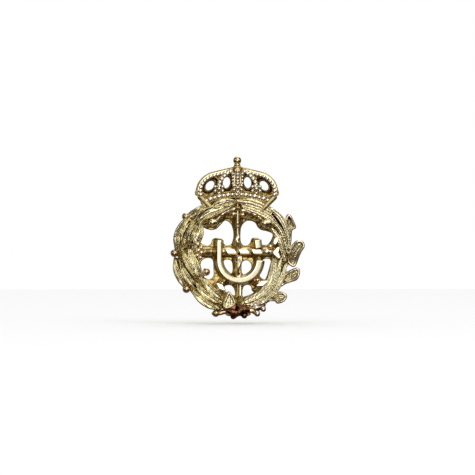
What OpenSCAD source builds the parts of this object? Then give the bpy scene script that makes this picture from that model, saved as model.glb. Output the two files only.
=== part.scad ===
// Cap badge: a crowned wreath of laurel and oak round an openwork device, on two threaded posts.
// Millimetres. +Z is up as worn, the face looks along -Y, and the posts point along +Y.
// The origin is midway between the posts, in the plane where the cap's cloth meets the post pads.

/* [Plates] */
// Thickness of the pads under the posts
pad_t = 0.5; // [0.3:0.1:0.8]
// Thickness of the pierced plates that the relief is soldered on
plate_t = 1.2; // [0.9:0.1:1.5]

/* [Wreath] */
// Radius of the wreath's outer edge
wreath_r = 15; // [14.8:0.1:15.2]
// Radius of the wreath's opening
opening_r = 9.5; // [9.3:0.1:9.6]
// Height of the leaves over the plates
leaf_h = 1.5; // [1:0.1:2]
// Width of a laurel leaf
laurel_w = 1.95; // [1.6:0.05:2]
// Radius of a laurel berry
berry_r = 0.9; // [0.7:0.05:0.95]

/* [Crown] */
// Width of the two outer arches
outer_arch_w = 1.1; // [0.9:0.1:1.2]
// Width of the two inner arches
inner_arch_w = 1; // [0.8:0.1:1.1]
// Width of the centre arch
centre_arch_w = 2.7; // [2.4:0.1:2.9]
// Radius of a pearl
pearl_r = 0.33; // [0.25:0.01:0.38]
// Radius of the ball on top
orb_r = 1.05; // [0.9:0.05:1.1]

/* [Device] */
// Radius of the cross baton
baton_r = 0.98; // [0.8:0.02:1]
// Turns of the rope round the baton
rope_turns = 2; // [1:0.5:4]
// Width of the polished face of the bow
bow_w = 1.3; // [1.1:0.1:1.5]
// Radius of the bow's bend, to the middle of its face
bow_r = 5.2; // [5:0.05:5.3]

/* [Fixings] */
// Distance between the two posts
post_pitch = 24; // [23.6:0.1:24.4]
// Radius of a post
post_r = 1.25; // [1:0.05:1.3]
// Length of a post behind the pads
post_len = 8.6; // [7.6:0.1:10]
// Smooth length of a post, through the cap's cloth
shank_len = 2.4; // [2.2:0.1:2.4]
// Pitch of the thread
thread_pitch = 0.45; // [0.4:0.05:0.5]
// Thickness of cap that the washers clamp
cloth_t = 2.5; // [2.5:0.1:3]
// Radius of a washer
washer_r = 3.1; // [2.9:0.1:3.6]
// Thickness of a washer
washer_t = 0.5; // [0.3:0.1:0.8]
// Radius of a nut over its knurl
nut_r = 2.9; // [2.7:0.1:3.3]
// Thickness of a nut
nut_t = 2.2; // [1.8:0.1:2.6]

/* [Hidden] */
$fn = 96;

back_y = -pad_t;                  // back of the plates
front_y = back_y - plate_t;       // front of the plates, where the relief stands
wreath_c = [-1, 0];               // centre of the wreath's outer edge and of its rows of leaves
opening_c = [-0.4, -0.5];         // centre of the opening
outer_row_r = 14;                 // rows of laurel leaves, from wreath_c
middle_row_r = 11.9;
inner_row_r = 9.9;
oak_row_r = 12.7;                 // rows of oak leaves, from wreath_c
oak_row_w = 2.2;
oak_top_r = 13.7;
oak_stem_r = 10.9;
lobe_r = 5.3;                     // round lobes of the crown
lobe_x = 5.5;
lobe_z = 16.7;
inner_arch_c = [0.9, 18.9];       // centre of an inner arch, on the right
inner_arch_r = 3.55;
band_in = 0.1;                    // crown band, measured outwards from the wreath's edge
band_out = 1.5;
outer_arch_h = 0.9;               // heights of the crown's pieces over the plates
inner_arch_h = 1.2;
centre_arch_h = 1.6;
band_h = 1.1;
crown_top_z = 22.6;               // where the collar stands on the crown plate
orb_y = -1.55;                    // middle of the collar and ball
baton_z = 1.05;
rope_x0 = -3.3;
rope_x1 = 7.5;
bow_c = [0.5, -1.2];              // centre of the bow's bend
bow_front_left = 2.3;             // height of the bow's face over the plates, at its two sides
bow_front_right = 0.9;
bow_left_top = 4.2;
bow_right_top = 4.4;
pad_r = 2.2;
head_r = post_r + 0.45;           // head of a post, soldered in its pad
bore_gap = 0.05;                  // running gap between a nut or washer and its post
hub_r = post_r + 0.75;            // plain hub of a nut
thread_depth = 0.27;
knurls = 36;
knurl_depth = 0.22;
cut = 60;                         // larger than the badge

// ---- Shared shapes ----

// Stands a flat outline on the plates' front, h high towards the face.
module relief(h, y = front_y)
    translate([0, y, 0]) rotate([90, 0, 0]) linear_extrude(h) children();

// A pierced plate from the back plane to the front plane.
module plate()
    relief(plate_t, back_y) children();

// Round low dome of base radius r and height h.
module dome(x, z, r, h, y = front_y) {
    ball = (r * r + h * h) / (2 * h);
    translate([x, y, z]) rotate([90, 0, 0]) rotate_extrude()
        intersection() {
            translate([0, h - ball]) circle(ball);
            square([r + 1, h + 1]);
        }
}

// Pointed oval from two arcs, long along x.
module lens(len, w) {
    arc = (len * len + w * w) / (4 * w);
    intersection() {
        translate([0, arc - w / 2]) circle(arc);
        translate([0, w / 2 - arc]) circle(arc);
    }
}

// Places children, drawn along x about the middle, on the line from p to q.
module along(p, q)
    translate([(p[0] + q[0]) / 2, (p[1] + q[1]) / 2]) rotate(atan2(q[1] - p[1], q[0] - p[0])) children();

// Straight leaf from base p to tip q, rounded across and grooved along its midrib.
module blade(p, q, w, h, y = front_y, groove = 0.14) {
    len = norm(q - p);
    edge = 0.45 * h;
    arc = (w * w / 4 + (h - edge) * (h - edge)) / (2 * (h - edge));
    translate([(p[0] + q[0]) / 2, y, (p[1] + q[1]) / 2]) rotate([0, -atan2(q[1] - p[1], q[0] - p[0]), 0])
        difference() {
            intersection() {
                rotate([90, 0, 0]) linear_extrude(h) lens(len, w);
                translate([-len, arc - h, 0]) rotate([0, 90, 0]) cylinder(r = arc, h = 2 * len);
            }
            translate([-len, -h, 0]) rotate([0, 90, 0]) cylinder(r = groove, h = 2 * len);
        }
}

// Pointed leaf bent along a circle of radius r about wreath_c, between angles a0 and a1.
module bent_lens(r, a0, a1, w) {
    half = abs(a1 - a0) / 2;
    tip = r * cos(half);
    out_mid = r + w / 2;
    in_mid = r - w / 2;
    out_c = (out_mid * out_mid - r * r) / (2 * (out_mid - tip));
    in_c = (in_mid * in_mid - r * r) / (2 * (in_mid - tip));
    translate(wreath_c) rotate((a0 + a1) / 2 - 90)
        if (in_mid > tip)
            difference() {
                translate([0, out_c]) circle(out_mid - out_c);
                translate([0, in_c]) circle(in_mid - in_c);
            }
        else
            intersection() {
                translate([0, out_c]) circle(out_mid - out_c);
                translate([0, in_c]) circle(in_c - in_mid);
            }
}

// The same leaf in relief, rounded across its width and grooved along its midrib.
module bent_leaf(r, a0, a1, w, h = leaf_h) {
    edge = 0.45 * h;
    arc = (w * w / 4 + (h - edge) * (h - edge)) / (2 * (h - edge));
    difference() {
        intersection() {
            relief(h) bent_lens(r, a0, a1, w);
            translate([wreath_c[0], front_y, wreath_c[1]]) rotate([90, 0, 0]) rotate_extrude()
                intersection() {
                    translate([r, h - arc]) circle(arc);
                    translate([r - w, 0]) square([2 * w, h + 1]);
                }
        }
        translate([wreath_c[0], front_y - h, wreath_c[1]]) rotate([90, 0, 0]) rotate_extrude()
            translate([r, 0]) circle(0.14);
    }
}

// Flat outline of a bar bent along a circle, between angles a0 and a1.
module arc_flat(c, r, w, a0, a1) {
    reach = 2 * r;
    translate(c) intersection() {
        difference() {
            circle(r + w / 2);
            circle(r - w / 2);
        }
        polygon([
            [0, 0],
            for (i = [0:3]) reach * [cos(a0 + (a1 - a0) * i / 3), sin(a0 + (a1 - a0) * i / 3)]
        ]);
    }
}

// Flat bar of width w from p to q.
module bar_flat(p, q, w)
    along(p, q) square([norm(q - p), w], center = true);

// Half-round bar bent along a circle, between angles a0 and a1.
module arc_bar(c, r, w, h, a0, a1) {
    arc = (w * w / 4 + h * h) / (2 * h);
    translate([c[0], front_y, c[1]]) rotate([90, 0, 0]) rotate([0, 0, a0]) rotate_extrude(angle = a1 - a0)
        intersection() {
            translate([r, h - arc]) circle(arc);
            translate([r - w, 0]) square([2 * w, h + 1]);
        }
}

// Keeps what stands in front of the plates.
module in_front()
    intersection() {
        children();
        translate([-cut / 2, front_y - cut, -cut / 2]) cube(cut);
    }

// Half of a turned upright piece. profile holds [radius, z] points.
module turned_upright(x, profile)
    in_front() translate([x, front_y, 0]) rotate_extrude()
        polygon([[0, profile[0][1]], each profile, [0, profile[len(profile) - 1][1]]]);

// Half of a turned cross piece. profile holds [radius, x] points.
module turned_cross(z, profile)
    in_front() translate([0, front_y, z]) rotate([0, 90, 0]) rotate_extrude()
        polygon([[0, profile[0][1]], each profile, [0, profile[len(profile) - 1][1]]]);

// ---- Plates ----

module ring_flat()
    difference() {
        translate(wreath_c) circle(wreath_r);
        translate(opening_c) circle(opening_r);
    }

module laurel_ring_plate()
    color("darkgoldenrod") plate() intersection() {
        ring_flat();
        translate([-cut, -cut / 2]) square(cut);
    }

module oak_ring_plate()
    color("darkgoldenrod") plate() intersection() {
        ring_flat();
        translate([0, -cut / 2]) square(cut);
    }

// Outline of the bow, w wide.
module bow_flat(w, left_top, right_top) {
    arc_flat(bow_c, bow_r, w, 180, 360);
    left_x = bow_c[0] - bow_r;
    right_x = bow_c[0] + bow_r;
    translate([left_x - w / 2, bow_c[1] - 0.01]) square([w, left_top - bow_c[1] + 0.01]);
    bar_flat([right_x, bow_c[1] - 0.2], [right_x - 0.5, right_top], w);
}

module device_plate()
    color("goldenrod") plate() intersection() {
        translate(opening_c) circle(opening_r);
        union() {
            translate([-1, -11]) square([2.1, 22]);
            translate([-12, -0.7]) square([24, 3.3]);
            bow_flat(2.8, 4.6, 4.7);
            bar_flat([-3.3, -5.4], [-6.6, -10], 3.2);
            bar_flat([4.3, -5.2], [7.4, -9.4], 3);
            translate([9.6, 3.4]) circle(1.9);
            translate([9.8, -1.2]) circle(1);
        }
    }

// Closes an outline by mirroring its right half, listed upwards from the bottom.
function both_sides(half) = [each half, for (i = [len(half) - 1:-1:0]) [-half[i][0], half[i][1]]];

module crown_plate()
    color("darkgoldenrod") plate() difference() {
        polygon(both_sides([
            [7.4, 11], [9.1, 13.6],
            for (i = [0:16]) [lobe_x, lobe_z] + lobe_r * [cos(-24 + 7.5 * i), sin(-24 + 7.5 * i)],
            [1.2, crown_top_z]
        ]));
        translate(wreath_c) circle(wreath_r);
        for (side = [-1, 1]) {
            along([side * 7.2, 17.9], [side * 6.4, 18.6]) {
                translate([0.4, 0]) circle(1.15);
                translate([-0.4, 0]) circle(1.15);
                square([0.8, 2.3], center = true);
            }
            translate([side * 2.75, 19]) {
                translate([0, 0.45]) circle(1.05);
                translate([0, -0.45]) circle(1.05);
                square([2.1, 0.9], center = true);
            }
        }
    }

// ---- Laurel branch ----

module laurel_leaves_outer()
    color("gold") {
        for (span = [[252, 219.5], [210.5, 183.5], [174, 149], [146, 121]])
            bent_leaf(outer_row_r, span[0], span[1], laurel_w);
        bent_leaf(outer_row_r - 0.3, 111.5, 92, laurel_w);
    }

module laurel_leaves_middle()
    color("khaki") for (span = [[251, 217], [214, 182], [179, 147], [144, 119]])
        bent_leaf(middle_row_r, span[0], span[1], laurel_w, leaf_h + 0.2);

module laurel_leaves_inner()
    color("gold") for (span = [[213, 191], [166, 140]])
        bent_leaf(inner_row_r, span[0], span[1], laurel_w - 0.15);

// A berry in front of the plates, on a flat stalk from p.
module berry(at, p) {
    stalk_h = 0.8;
    sunk = 0.1;
    foot_r = sqrt(sunk * (2 * berry_r - sunk));
    relief(stalk_h) bar_flat(at, p, 0.8);
    dome(at[0], at[1], foot_r, 2 * berry_r - sunk);
}

module laurel_berries()
    color("goldenrod") {
        berry([-13.4, 10.2], [-12.2, 8.6]);
        berry([-16.3, 0.7], [-15.2, 0.3]);
        berry([-13.2, -8.6], [-12.2, -8]);
        berry([-8, -4.2], [-9.3, -5.7]);
        berry([-6, -14.9], [-4.6, -14.3]);
    }

// ---- Oak branch ----

module oak_stem()
    color("darkkhaki") arc_bar(wreath_c, oak_stem_r, 2.4, 1.2, -76, -9);

module oak_leaves_ring()
    color("gold") {
        bent_leaf(oak_row_r + 0.4, -10, -38, 1.7);
        bent_leaf(oak_row_r + 0.4, -41, -71, 1.7);
        bent_leaf(oak_row_r, 24, -7, oak_row_w);
        bent_leaf(oak_row_r, 53, 27, oak_row_w);
        bent_leaf(oak_top_r, 88, 62, laurel_w);
    }

module oak_leaves_outer()
    color("khaki") {
        blade([13, 3.2], [14.2, 10.8], 2.5, leaf_h);
        blade([12.9, -2], [17.2, 4.2], 3.1, leaf_h);
        blade([11.9, -7], [16.3, -2.9], 2.9, leaf_h);
        blade([8.9, -11], [12.9, -10.6], 2.3, leaf_h);
        blade([6.4, -12.9], [7.3, -14.7], 1.3, leaf_h);
        blade([4.6, -13.9], [5.6, -16.1], 1.3, leaf_h);
    }

// ---- Tie at the bottom ----

module tie_band()
    color("peru") relief(leaf_h + 0.2) bar_flat([0.9, -11.8], [0.9, -16.3], 3.4);

module tie_leaf()
    color("gold") blade([-1.8, -13.9], [-2.4, -9.5], 2.2, leaf_h);

module stem_ends()
    color("peru") {
        relief(1) bar_flat([-4.2, -14.7], [-0.9, -14.6], 1.1);
        relief(1) bar_flat([2.7, -14.1], [4, -14.5], 1.1);
    }

// ---- Crown ----

module crown_band()
    color("gold") relief(band_h)
        arc_flat(wreath_c, wreath_r + (band_in + band_out) / 2, band_out - band_in, 56.5, 119);

module crown_band_stones()
    color("lightyellow") for (i = [0:12]) {
        a = 59.5 + 4.75 * i;
        r = wreath_r + (band_in + band_out) / 2;
        dome(wreath_c[0] + r * cos(a), wreath_c[1] + r * sin(a), i % 2 ? 0.34 : 0.48, 0.4, front_y - band_h);
    }

// Two ribs that join the crown to the wreath.
module crown_shoulders()
    color("darkgoldenrod") {
        blade([-9, 15], [-5.9, 11], 0.95, 1.2);
        blade([9, 15], [6.8, 11.4], 0.95, 1.2);
    }

module outer_arch(side)
    relief(outer_arch_h) {
        arc_flat([side * lobe_x, lobe_z], lobe_r - outer_arch_w / 2, outer_arch_w,
            90 - side * 101, 90 - side * 10);
        bar_flat([side * 6.3, 21.25], [side * 1.5, 22.15], outer_arch_w * 0.7);
    }

module inner_arch(side)
    relief(inner_arch_h) {
        arc_flat([side * inner_arch_c[0], inner_arch_c[1]], inner_arch_r, inner_arch_w, 90 - side * 92, 90 - side * 22);
    }

module crown_arch_left_outer() color("gold") outer_arch(-1);
module crown_arch_right_outer() color("gold") outer_arch(1);
module crown_arch_left_inner() color("khaki") inner_arch(-1);
module crown_arch_right_inner() color("khaki") inner_arch(1);

module crown_arch_centre()
    color("gold") relief(centre_arch_h) bar_flat([0, 16.65], [0, 21.6], centre_arch_w);

// Row of pearls on a bent bar.
module pearl_arc(c, r, a0, a1, count, h)
    for (i = [0:count - 1]) {
        a = a0 + (a1 - a0) * i / (count - 1);
        dome(c[0] + r * cos(a), c[1] + r * sin(a), pearl_r, 0.3, front_y - h);
    }

module crown_pearls()
    color("ivory") for (side = [-1, 1]) {
        pearl_arc([side * lobe_x, lobe_z], lobe_r - outer_arch_w / 2,
            90 - side * 97, 90 - side * 14, 9, outer_arch_h);
        for (i = [0:2])
            dome(side * (4 - 0.9 * i), 21.42 + 0.27 * i, pearl_r, 0.3, front_y - outer_arch_h);
        pearl_arc([side * inner_arch_c[0], inner_arch_c[1]], inner_arch_r,
            90 - side * 88, 90 - side * 27, 5, inner_arch_h);
        for (i = [0:3])
            dome(side * 0.98, 19 + 0.8 * i, 0.26, 0.25, front_y - centre_arch_h);
    }

// A ball in a ring of petals.
module fleuron(x, z, h)
    for (y = [front_y - h]) {
        dome(x, z, 0.62, 0.62, y);
        for (i = [0:4])
            dome(x + 0.98 * cos(90 + 72 * i), z + 0.98 * sin(90 + 72 * i), 0.34, 0.3, y);
    }

module crown_fleurons()
    color("gold") {
        fleuron(0, 17.75, centre_arch_h);
        for (side = [-1, 1]) {
            relief(band_h + 0.2) translate([side * 4.85, 17.45]) circle(1.35);
            fleuron(side * 4.85, 17.45, band_h + 0.2);
        }
    }

module crown_collar()
    color("gold") translate([0, orb_y, crown_top_z]) rotate_extrude()
        polygon([[0, 0], [0.9, 0], [1.2, 0.25], [1.2, 0.45], [0.85, 0.75], [0, 0.75]]);

module crown_orb()
    color("gold") translate([0, orb_y, crown_top_z + 0.75]) union() {
        cylinder(r = 0.78, h = 0.9);
        translate([0, 0, 1.35]) sphere(orb_r);
    }

// ---- Device ----

module staff_upper()
    color("gold") turned_upright(0, [
        [0.75, 2.1], [0.62, 3], [0.66, 4.2], [0.4, 5.6], [0.34, 7.3], [0.5, 7.5], [0.34, 7.7],
        [0.5, 8.1], [0.5, 8.6], [0.3, 9], [0.3, 11.8]
    ]);

module staff_lower()
    color("gold") turned_upright(0.25, [[0.85, -0.02], [0.8, -0.7], [0.5, -5.6]]);

module staff_foot()
    color("gold") turned_upright(0.65, [[0.5, -7.1], [0.55, -10.6]]);

module staff_tip()
    color("gold") blade([0, 12], [0, 14.3], 1.3, 1.1);

// The full-length shaft under the bow, with its collars.
module baton_shaft()
    color("gold") turned_cross(baton_z, [
        [0.6, -9.3], [0.6, -8.7], [0.85, -8.5], [0.85, -8.1], [0.6, -7.9], [0.6, -7.2], [0.92, -7],
        [0.92, -6.6], [0.7, -6.4], [0.7, -3.9], [0.92, -3.7], [0.92, rope_x0]
    ]);

// Three strands laid round the baton.
module baton_rope()
    color("gold") in_front() translate([rope_x0, front_y, baton_z]) rotate([0, 90, 0])
        linear_extrude(height = rope_x1 - rope_x0, twist = 360 * rope_turns, slices = 30, $fn = 24)
            polygon([for (i = [0:23]) let (r = baton_r - 0.12 + 0.12 * cos(45 * i)) r * [cos(15 * i), sin(15 * i)]]);

module baton_finial_left()
    color("gold") {
        turned_cross(baton_z, [[0.75, -9.8], [0.75, -9.3]]);
        for (z = [-0.75, baton_z, 2.85]) dome(-10.45, z, 0.62, 0.85);
    }

module baton_finial_right()
    color("gold") {
        turned_cross(baton_z, [[0.98, rope_x1], [0.98, 7.8], [0.62, 8.1], [0.62, 9.1], [1, 10.2]]);
        dome(10, 4.1, 0.95, 0.9);
        dome(8.7, 2.85, 0.6, 0.7);
    }

// Height of the bow's slanting face at x.
function bow_h(x) =
    bow_front_left + (bow_front_right - bow_front_left) * (x - bow_c[0] + bow_r) / (2 * bow_r);

// Bow in relief: its face slants back to the right, and it is notched over the baton.
module bow_solid()
    difference() {
        relief(bow_front_left + 1) bow_flat(bow_w, bow_left_top, bow_right_top);
        translate([bow_c[0], front_y - bow_h(bow_c[0]), 0])
            rotate([0, 0, atan2(bow_front_left - bow_front_right, 2 * bow_r)])
                translate([-cut / 2, -cut, -cut / 2]) cube(cut);
        translate([-cut / 2, front_y, baton_z]) rotate([0, 90, 0]) cylinder(r = baton_r + bore_gap, h = cut);
    }

module bow()
    color("gold") intersection() {
        bow_solid();
        union() {
            translate([-cut, -cut / 2, -cut / 2]) cube([cut, cut, cut]);
            translate([0, -cut / 2, -cut + baton_z]) cube([cut, cut, cut]);
        }
    }

module bow_tip()
    color("gold") intersection() {
        bow_solid();
        translate([1, -cut / 2, baton_z]) cube(cut);
    }

module toggles()
    color("gold") {
        blade([-5.7, -7.1], [-3.3, -9.2], 1, 1.2, groove = 0.02);
        blade([5, -8.2], [8, -6.7], 1, 1.2, groove = 0.02);
    }

module scroll(side, bud_x, bud_z) {
    arc_bar([side == 1 ? 1.1 : -0.9, 5.6], 6, 1.2, 1, 90 - side * 48, 90 - side * 12);
    dome(bud_x, bud_z, 1.1, 1.1);
}

module scroll_left() color("gold") scroll(-1, -6.3, 8.7);
module scroll_right() color("gold") scroll(1, 7.4, 8.6);

// ---- Fixings ----

// Ring round the post's head, flush with it.
module post_pad(side)
    translate([side * post_pitch / 2, -pad_t, 0]) rotate([-90, 0, 0]) difference() {
        cylinder(r = pad_r, h = pad_t);
        translate([0, 0, -1]) cylinder(r = head_r, h = 3);
    }

// Head in the pad, smooth shank, then sharp thread ridges to the end.
module post(side) {
    turns = floor((post_len - shank_len - 0.3) / thread_pitch);
    root = post_r - thread_depth;
    translate([side * post_pitch / 2, 0, 0]) rotate([-90, 0, 0]) rotate_extrude() polygon([
        [0, -pad_t], [head_r, -pad_t], [head_r, 0],
        [post_r, 0], [post_r, shank_len], [root, shank_len + 0.1],
        for (i = [0:turns - 1]) each [
            [post_r, shank_len + 0.1 + (i + 0.5) * thread_pitch],
            [root, shank_len + 0.1 + (i + 1) * thread_pitch]
        ],
        [root - 0.15, post_len], [0, post_len]
    ]);
}

module washer(side)
    translate([side * post_pitch / 2, cloth_t, 0]) rotate([-90, 0, 0]) difference() {
        cylinder(r = washer_r, h = washer_t);
        translate([0, 0, -1]) cylinder(r = post_r + bore_gap, h = 3);
    }

// Knurled disc with a plain hub.
module nut(side)
    translate([side * post_pitch / 2, cloth_t + washer_t, 0]) rotate([-90, 0, 0]) difference() {
        union() {
            cylinder(r = hub_r, h = nut_t);
            translate([0, 0, 0.25]) linear_extrude(nut_t * 0.55) polygon([
                for (i = [0:2 * knurls - 1]) (nut_r - (i % 2) * knurl_depth) * [cos(180 * i / knurls), sin(180 * i / knurls)]
            ]);
        }
        translate([0, 0, -1]) cylinder(r = post_r + bore_gap, h = nut_t + 2);
    }

module left_post_pad() color("darkgoldenrod") post_pad(-1);
module right_post_pad() color("darkgoldenrod") post_pad(1);
module left_post() color("goldenrod") post(-1);
module right_post() color("goldenrod") post(1);
module left_washer() color("gold") washer(-1);
module right_washer() color("gold") washer(1);
module left_nut() color("khaki") nut(-1);
module right_nut() color("khaki") nut(1);

// ---- Nodes ----

laurel_ring_plate();
oak_ring_plate();
device_plate();
crown_plate();
laurel_leaves_outer();
laurel_leaves_middle();
laurel_leaves_inner();
laurel_berries();
oak_stem();
oak_leaves_ring();
oak_leaves_outer();
tie_band();
tie_leaf();
stem_ends();
crown_band();
crown_band_stones();
crown_shoulders();
crown_arch_left_outer();
crown_arch_left_inner();
crown_arch_centre();
crown_arch_right_inner();
crown_arch_right_outer();
crown_pearls();
crown_fleurons();
crown_collar();
crown_orb();
staff_upper();
staff_lower();
staff_foot();
staff_tip();
baton_shaft();
baton_rope();
baton_finial_left();
baton_finial_right();
bow();
bow_tip();
toggles();
scroll_left();
scroll_right();
left_post_pad();
left_post();
left_washer();
left_nut();
right_post_pad();
right_post();
right_washer();
right_nut();
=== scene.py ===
"""Looks of the cap badge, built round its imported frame.

Shapes are made in millimetres in the badge's own directions: x to the right, z up, and h towards the
viewer, which is the frame's -Y. Cast pieces are solids on a grid of signed distances. Turned and swept
pieces are meshes built ring by ring.
"""

import itertools
import math

import bmesh
import bpy
import numpy as np
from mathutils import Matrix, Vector

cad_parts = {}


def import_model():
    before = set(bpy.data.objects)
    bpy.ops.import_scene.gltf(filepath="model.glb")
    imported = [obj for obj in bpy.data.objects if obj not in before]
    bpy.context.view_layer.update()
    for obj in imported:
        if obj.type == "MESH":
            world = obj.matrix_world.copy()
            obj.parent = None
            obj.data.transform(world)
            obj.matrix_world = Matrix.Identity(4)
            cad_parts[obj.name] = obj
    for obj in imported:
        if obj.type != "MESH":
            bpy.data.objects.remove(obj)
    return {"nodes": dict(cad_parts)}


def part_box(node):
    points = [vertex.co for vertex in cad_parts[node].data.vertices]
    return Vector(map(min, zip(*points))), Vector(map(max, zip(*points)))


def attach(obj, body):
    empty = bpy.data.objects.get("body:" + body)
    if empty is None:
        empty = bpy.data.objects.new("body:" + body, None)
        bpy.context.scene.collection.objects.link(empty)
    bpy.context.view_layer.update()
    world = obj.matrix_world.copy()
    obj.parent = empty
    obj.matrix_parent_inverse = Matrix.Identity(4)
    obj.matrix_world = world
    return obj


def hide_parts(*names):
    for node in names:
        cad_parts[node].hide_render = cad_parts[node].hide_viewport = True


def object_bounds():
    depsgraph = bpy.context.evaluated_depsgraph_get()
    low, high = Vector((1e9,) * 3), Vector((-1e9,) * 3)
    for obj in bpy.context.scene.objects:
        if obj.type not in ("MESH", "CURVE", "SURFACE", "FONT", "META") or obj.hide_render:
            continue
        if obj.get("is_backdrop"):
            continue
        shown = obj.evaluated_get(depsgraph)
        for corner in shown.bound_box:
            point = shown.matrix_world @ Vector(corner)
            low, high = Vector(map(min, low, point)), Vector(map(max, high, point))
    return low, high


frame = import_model()
cad_box = [list(corner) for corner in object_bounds()]

MM = 0.001
CELL = 0.1  # grid step of cast pieces
STEP = 0.08  # plates that overlap differ by this much behind
REACH = 0.7  # a shape's field is worked out this far beyond its own box


# ---- Places read from the frame, in mm ----


def box_mm(node):
    """(x, z, h) corners of a CAD node: the lowest and the highest."""
    low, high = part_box(node)
    return (
        np.array([low[0], low[2], -high[1]]) / MM,
        np.array([high[0], high[2], -low[1]]) / MM,
    )


def centre_mm(node):
    low, high = box_mm(node)
    return (low + high) / 2


def height_span(node):
    low, high = box_mm(node)
    return low[1], high[1]


plate_low, plate_high = box_mm("laurel_ring_plate")
BACK = plate_low[2]
FRONT = plate_high[2]
WREATH_R = (plate_high[1] - plate_low[1]) / 2
WREATH = np.array([plate_low[0] + WREATH_R, (plate_low[1] + plate_high[1]) / 2])


def spot(angle, share):
    """Point of the wreath at an angle in degrees and a share of its outer radius."""
    a = math.radians(angle)
    return WREATH + share * WREATH_R * np.array([math.cos(a), math.sin(a)])


# ---- Fields ----


def smooth_max(a, b, k):
    m = np.clip(0.5 + 0.5 * (a - b) / k, 0, 1)
    return b + (a - b) * m + k * m * (1 - m)


def smooth_min(a, b, k):
    return -smooth_max(-a, -b, k)


def spline(points, count=10):
    """Catmull-Rom curve through points, with count steps to a span."""
    p = np.array(points, float)
    p = np.vstack([2 * p[0] - p[1], p, 2 * p[-1] - p[-2]])
    out = []
    for i in range(1, len(p) - 2):
        for t in np.arange(count) / count:
            a = 2 * p[i]
            b = p[i + 1] - p[i - 1]
            c = 2 * p[i - 1] - 5 * p[i] + 4 * p[i + 1] - p[i + 2]
            d = 3 * p[i] - 3 * p[i + 1] + p[i + 2] - p[i - 1]
            out.append((a + b * t + c * t * t + d * t**3) / 2)
    out.append(p[-2])
    return np.array(out)


def ring_spline(points, count=8):
    """Closed Catmull-Rom curve through points."""
    p = list(points)
    return spline([p[-1]] + p + [p[0], p[1]], count)[count:-count]


def nearest(x, z, path):
    """Distance to a flat path, the share of its length there, and the side: positive on the path's left."""
    path = np.asarray(path, float)
    steps = np.linalg.norm(np.diff(path, axis=0), axis=1)
    total = steps.sum()
    best = np.full(np.broadcast(x, z).shape, 1e9)
    share = np.zeros_like(best)
    side = np.ones_like(best)
    run = 0.0
    for p, q, length in zip(path[:-1], path[1:], steps):
        ux, uz = (q - p) / max(length, 1e-9)
        t = np.clip((x - p[0]) * ux + (z - p[1]) * uz, 0, length)
        dx, dz = x - p[0] - t * ux, z - p[1] - t * uz
        d = np.hypot(dx, dz)
        closer = d < best
        best = np.where(closer, d, best)
        share = np.where(closer, (run + t) / total, share)
        side = np.where(closer, np.sign(ux * dz - uz * dx), side)
        run += length
    return best, share, side


def outline_distance(x, z, ring):
    """Signed distance to a closed outline, negative inside."""
    ring = np.asarray(ring, float)
    closed = np.vstack([ring, ring[:1]])
    d, _, _ = nearest(x, z, closed)
    inside = np.zeros(d.shape, bool)
    for (ax, az), (bx, bz) in zip(closed[:-1], closed[1:]):
        crosses = (az > z) != (bz > z)
        with np.errstate(divide="ignore", invalid="ignore"):
            at = ax + (z - az) * (bx - ax) / (bz - az)
        inside ^= crosses & (x < at)
    return np.where(inside, -d, d)


def grain(x, z, size, seed):
    """Smooth random height field, about -1 to 1, with lumps of the given size."""
    rng = np.random.default_rng(seed)
    total = 0
    for k in range(14):
        angle = rng.uniform(0, math.tau)
        wave = math.tau / (size * rng.uniform(0.8, 1.9))
        phase = rng.uniform(0, math.tau)
        total = total + np.sin(wave * (x * math.cos(angle) + z * math.sin(angle)) + phase)
    return total / 4.5


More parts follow.
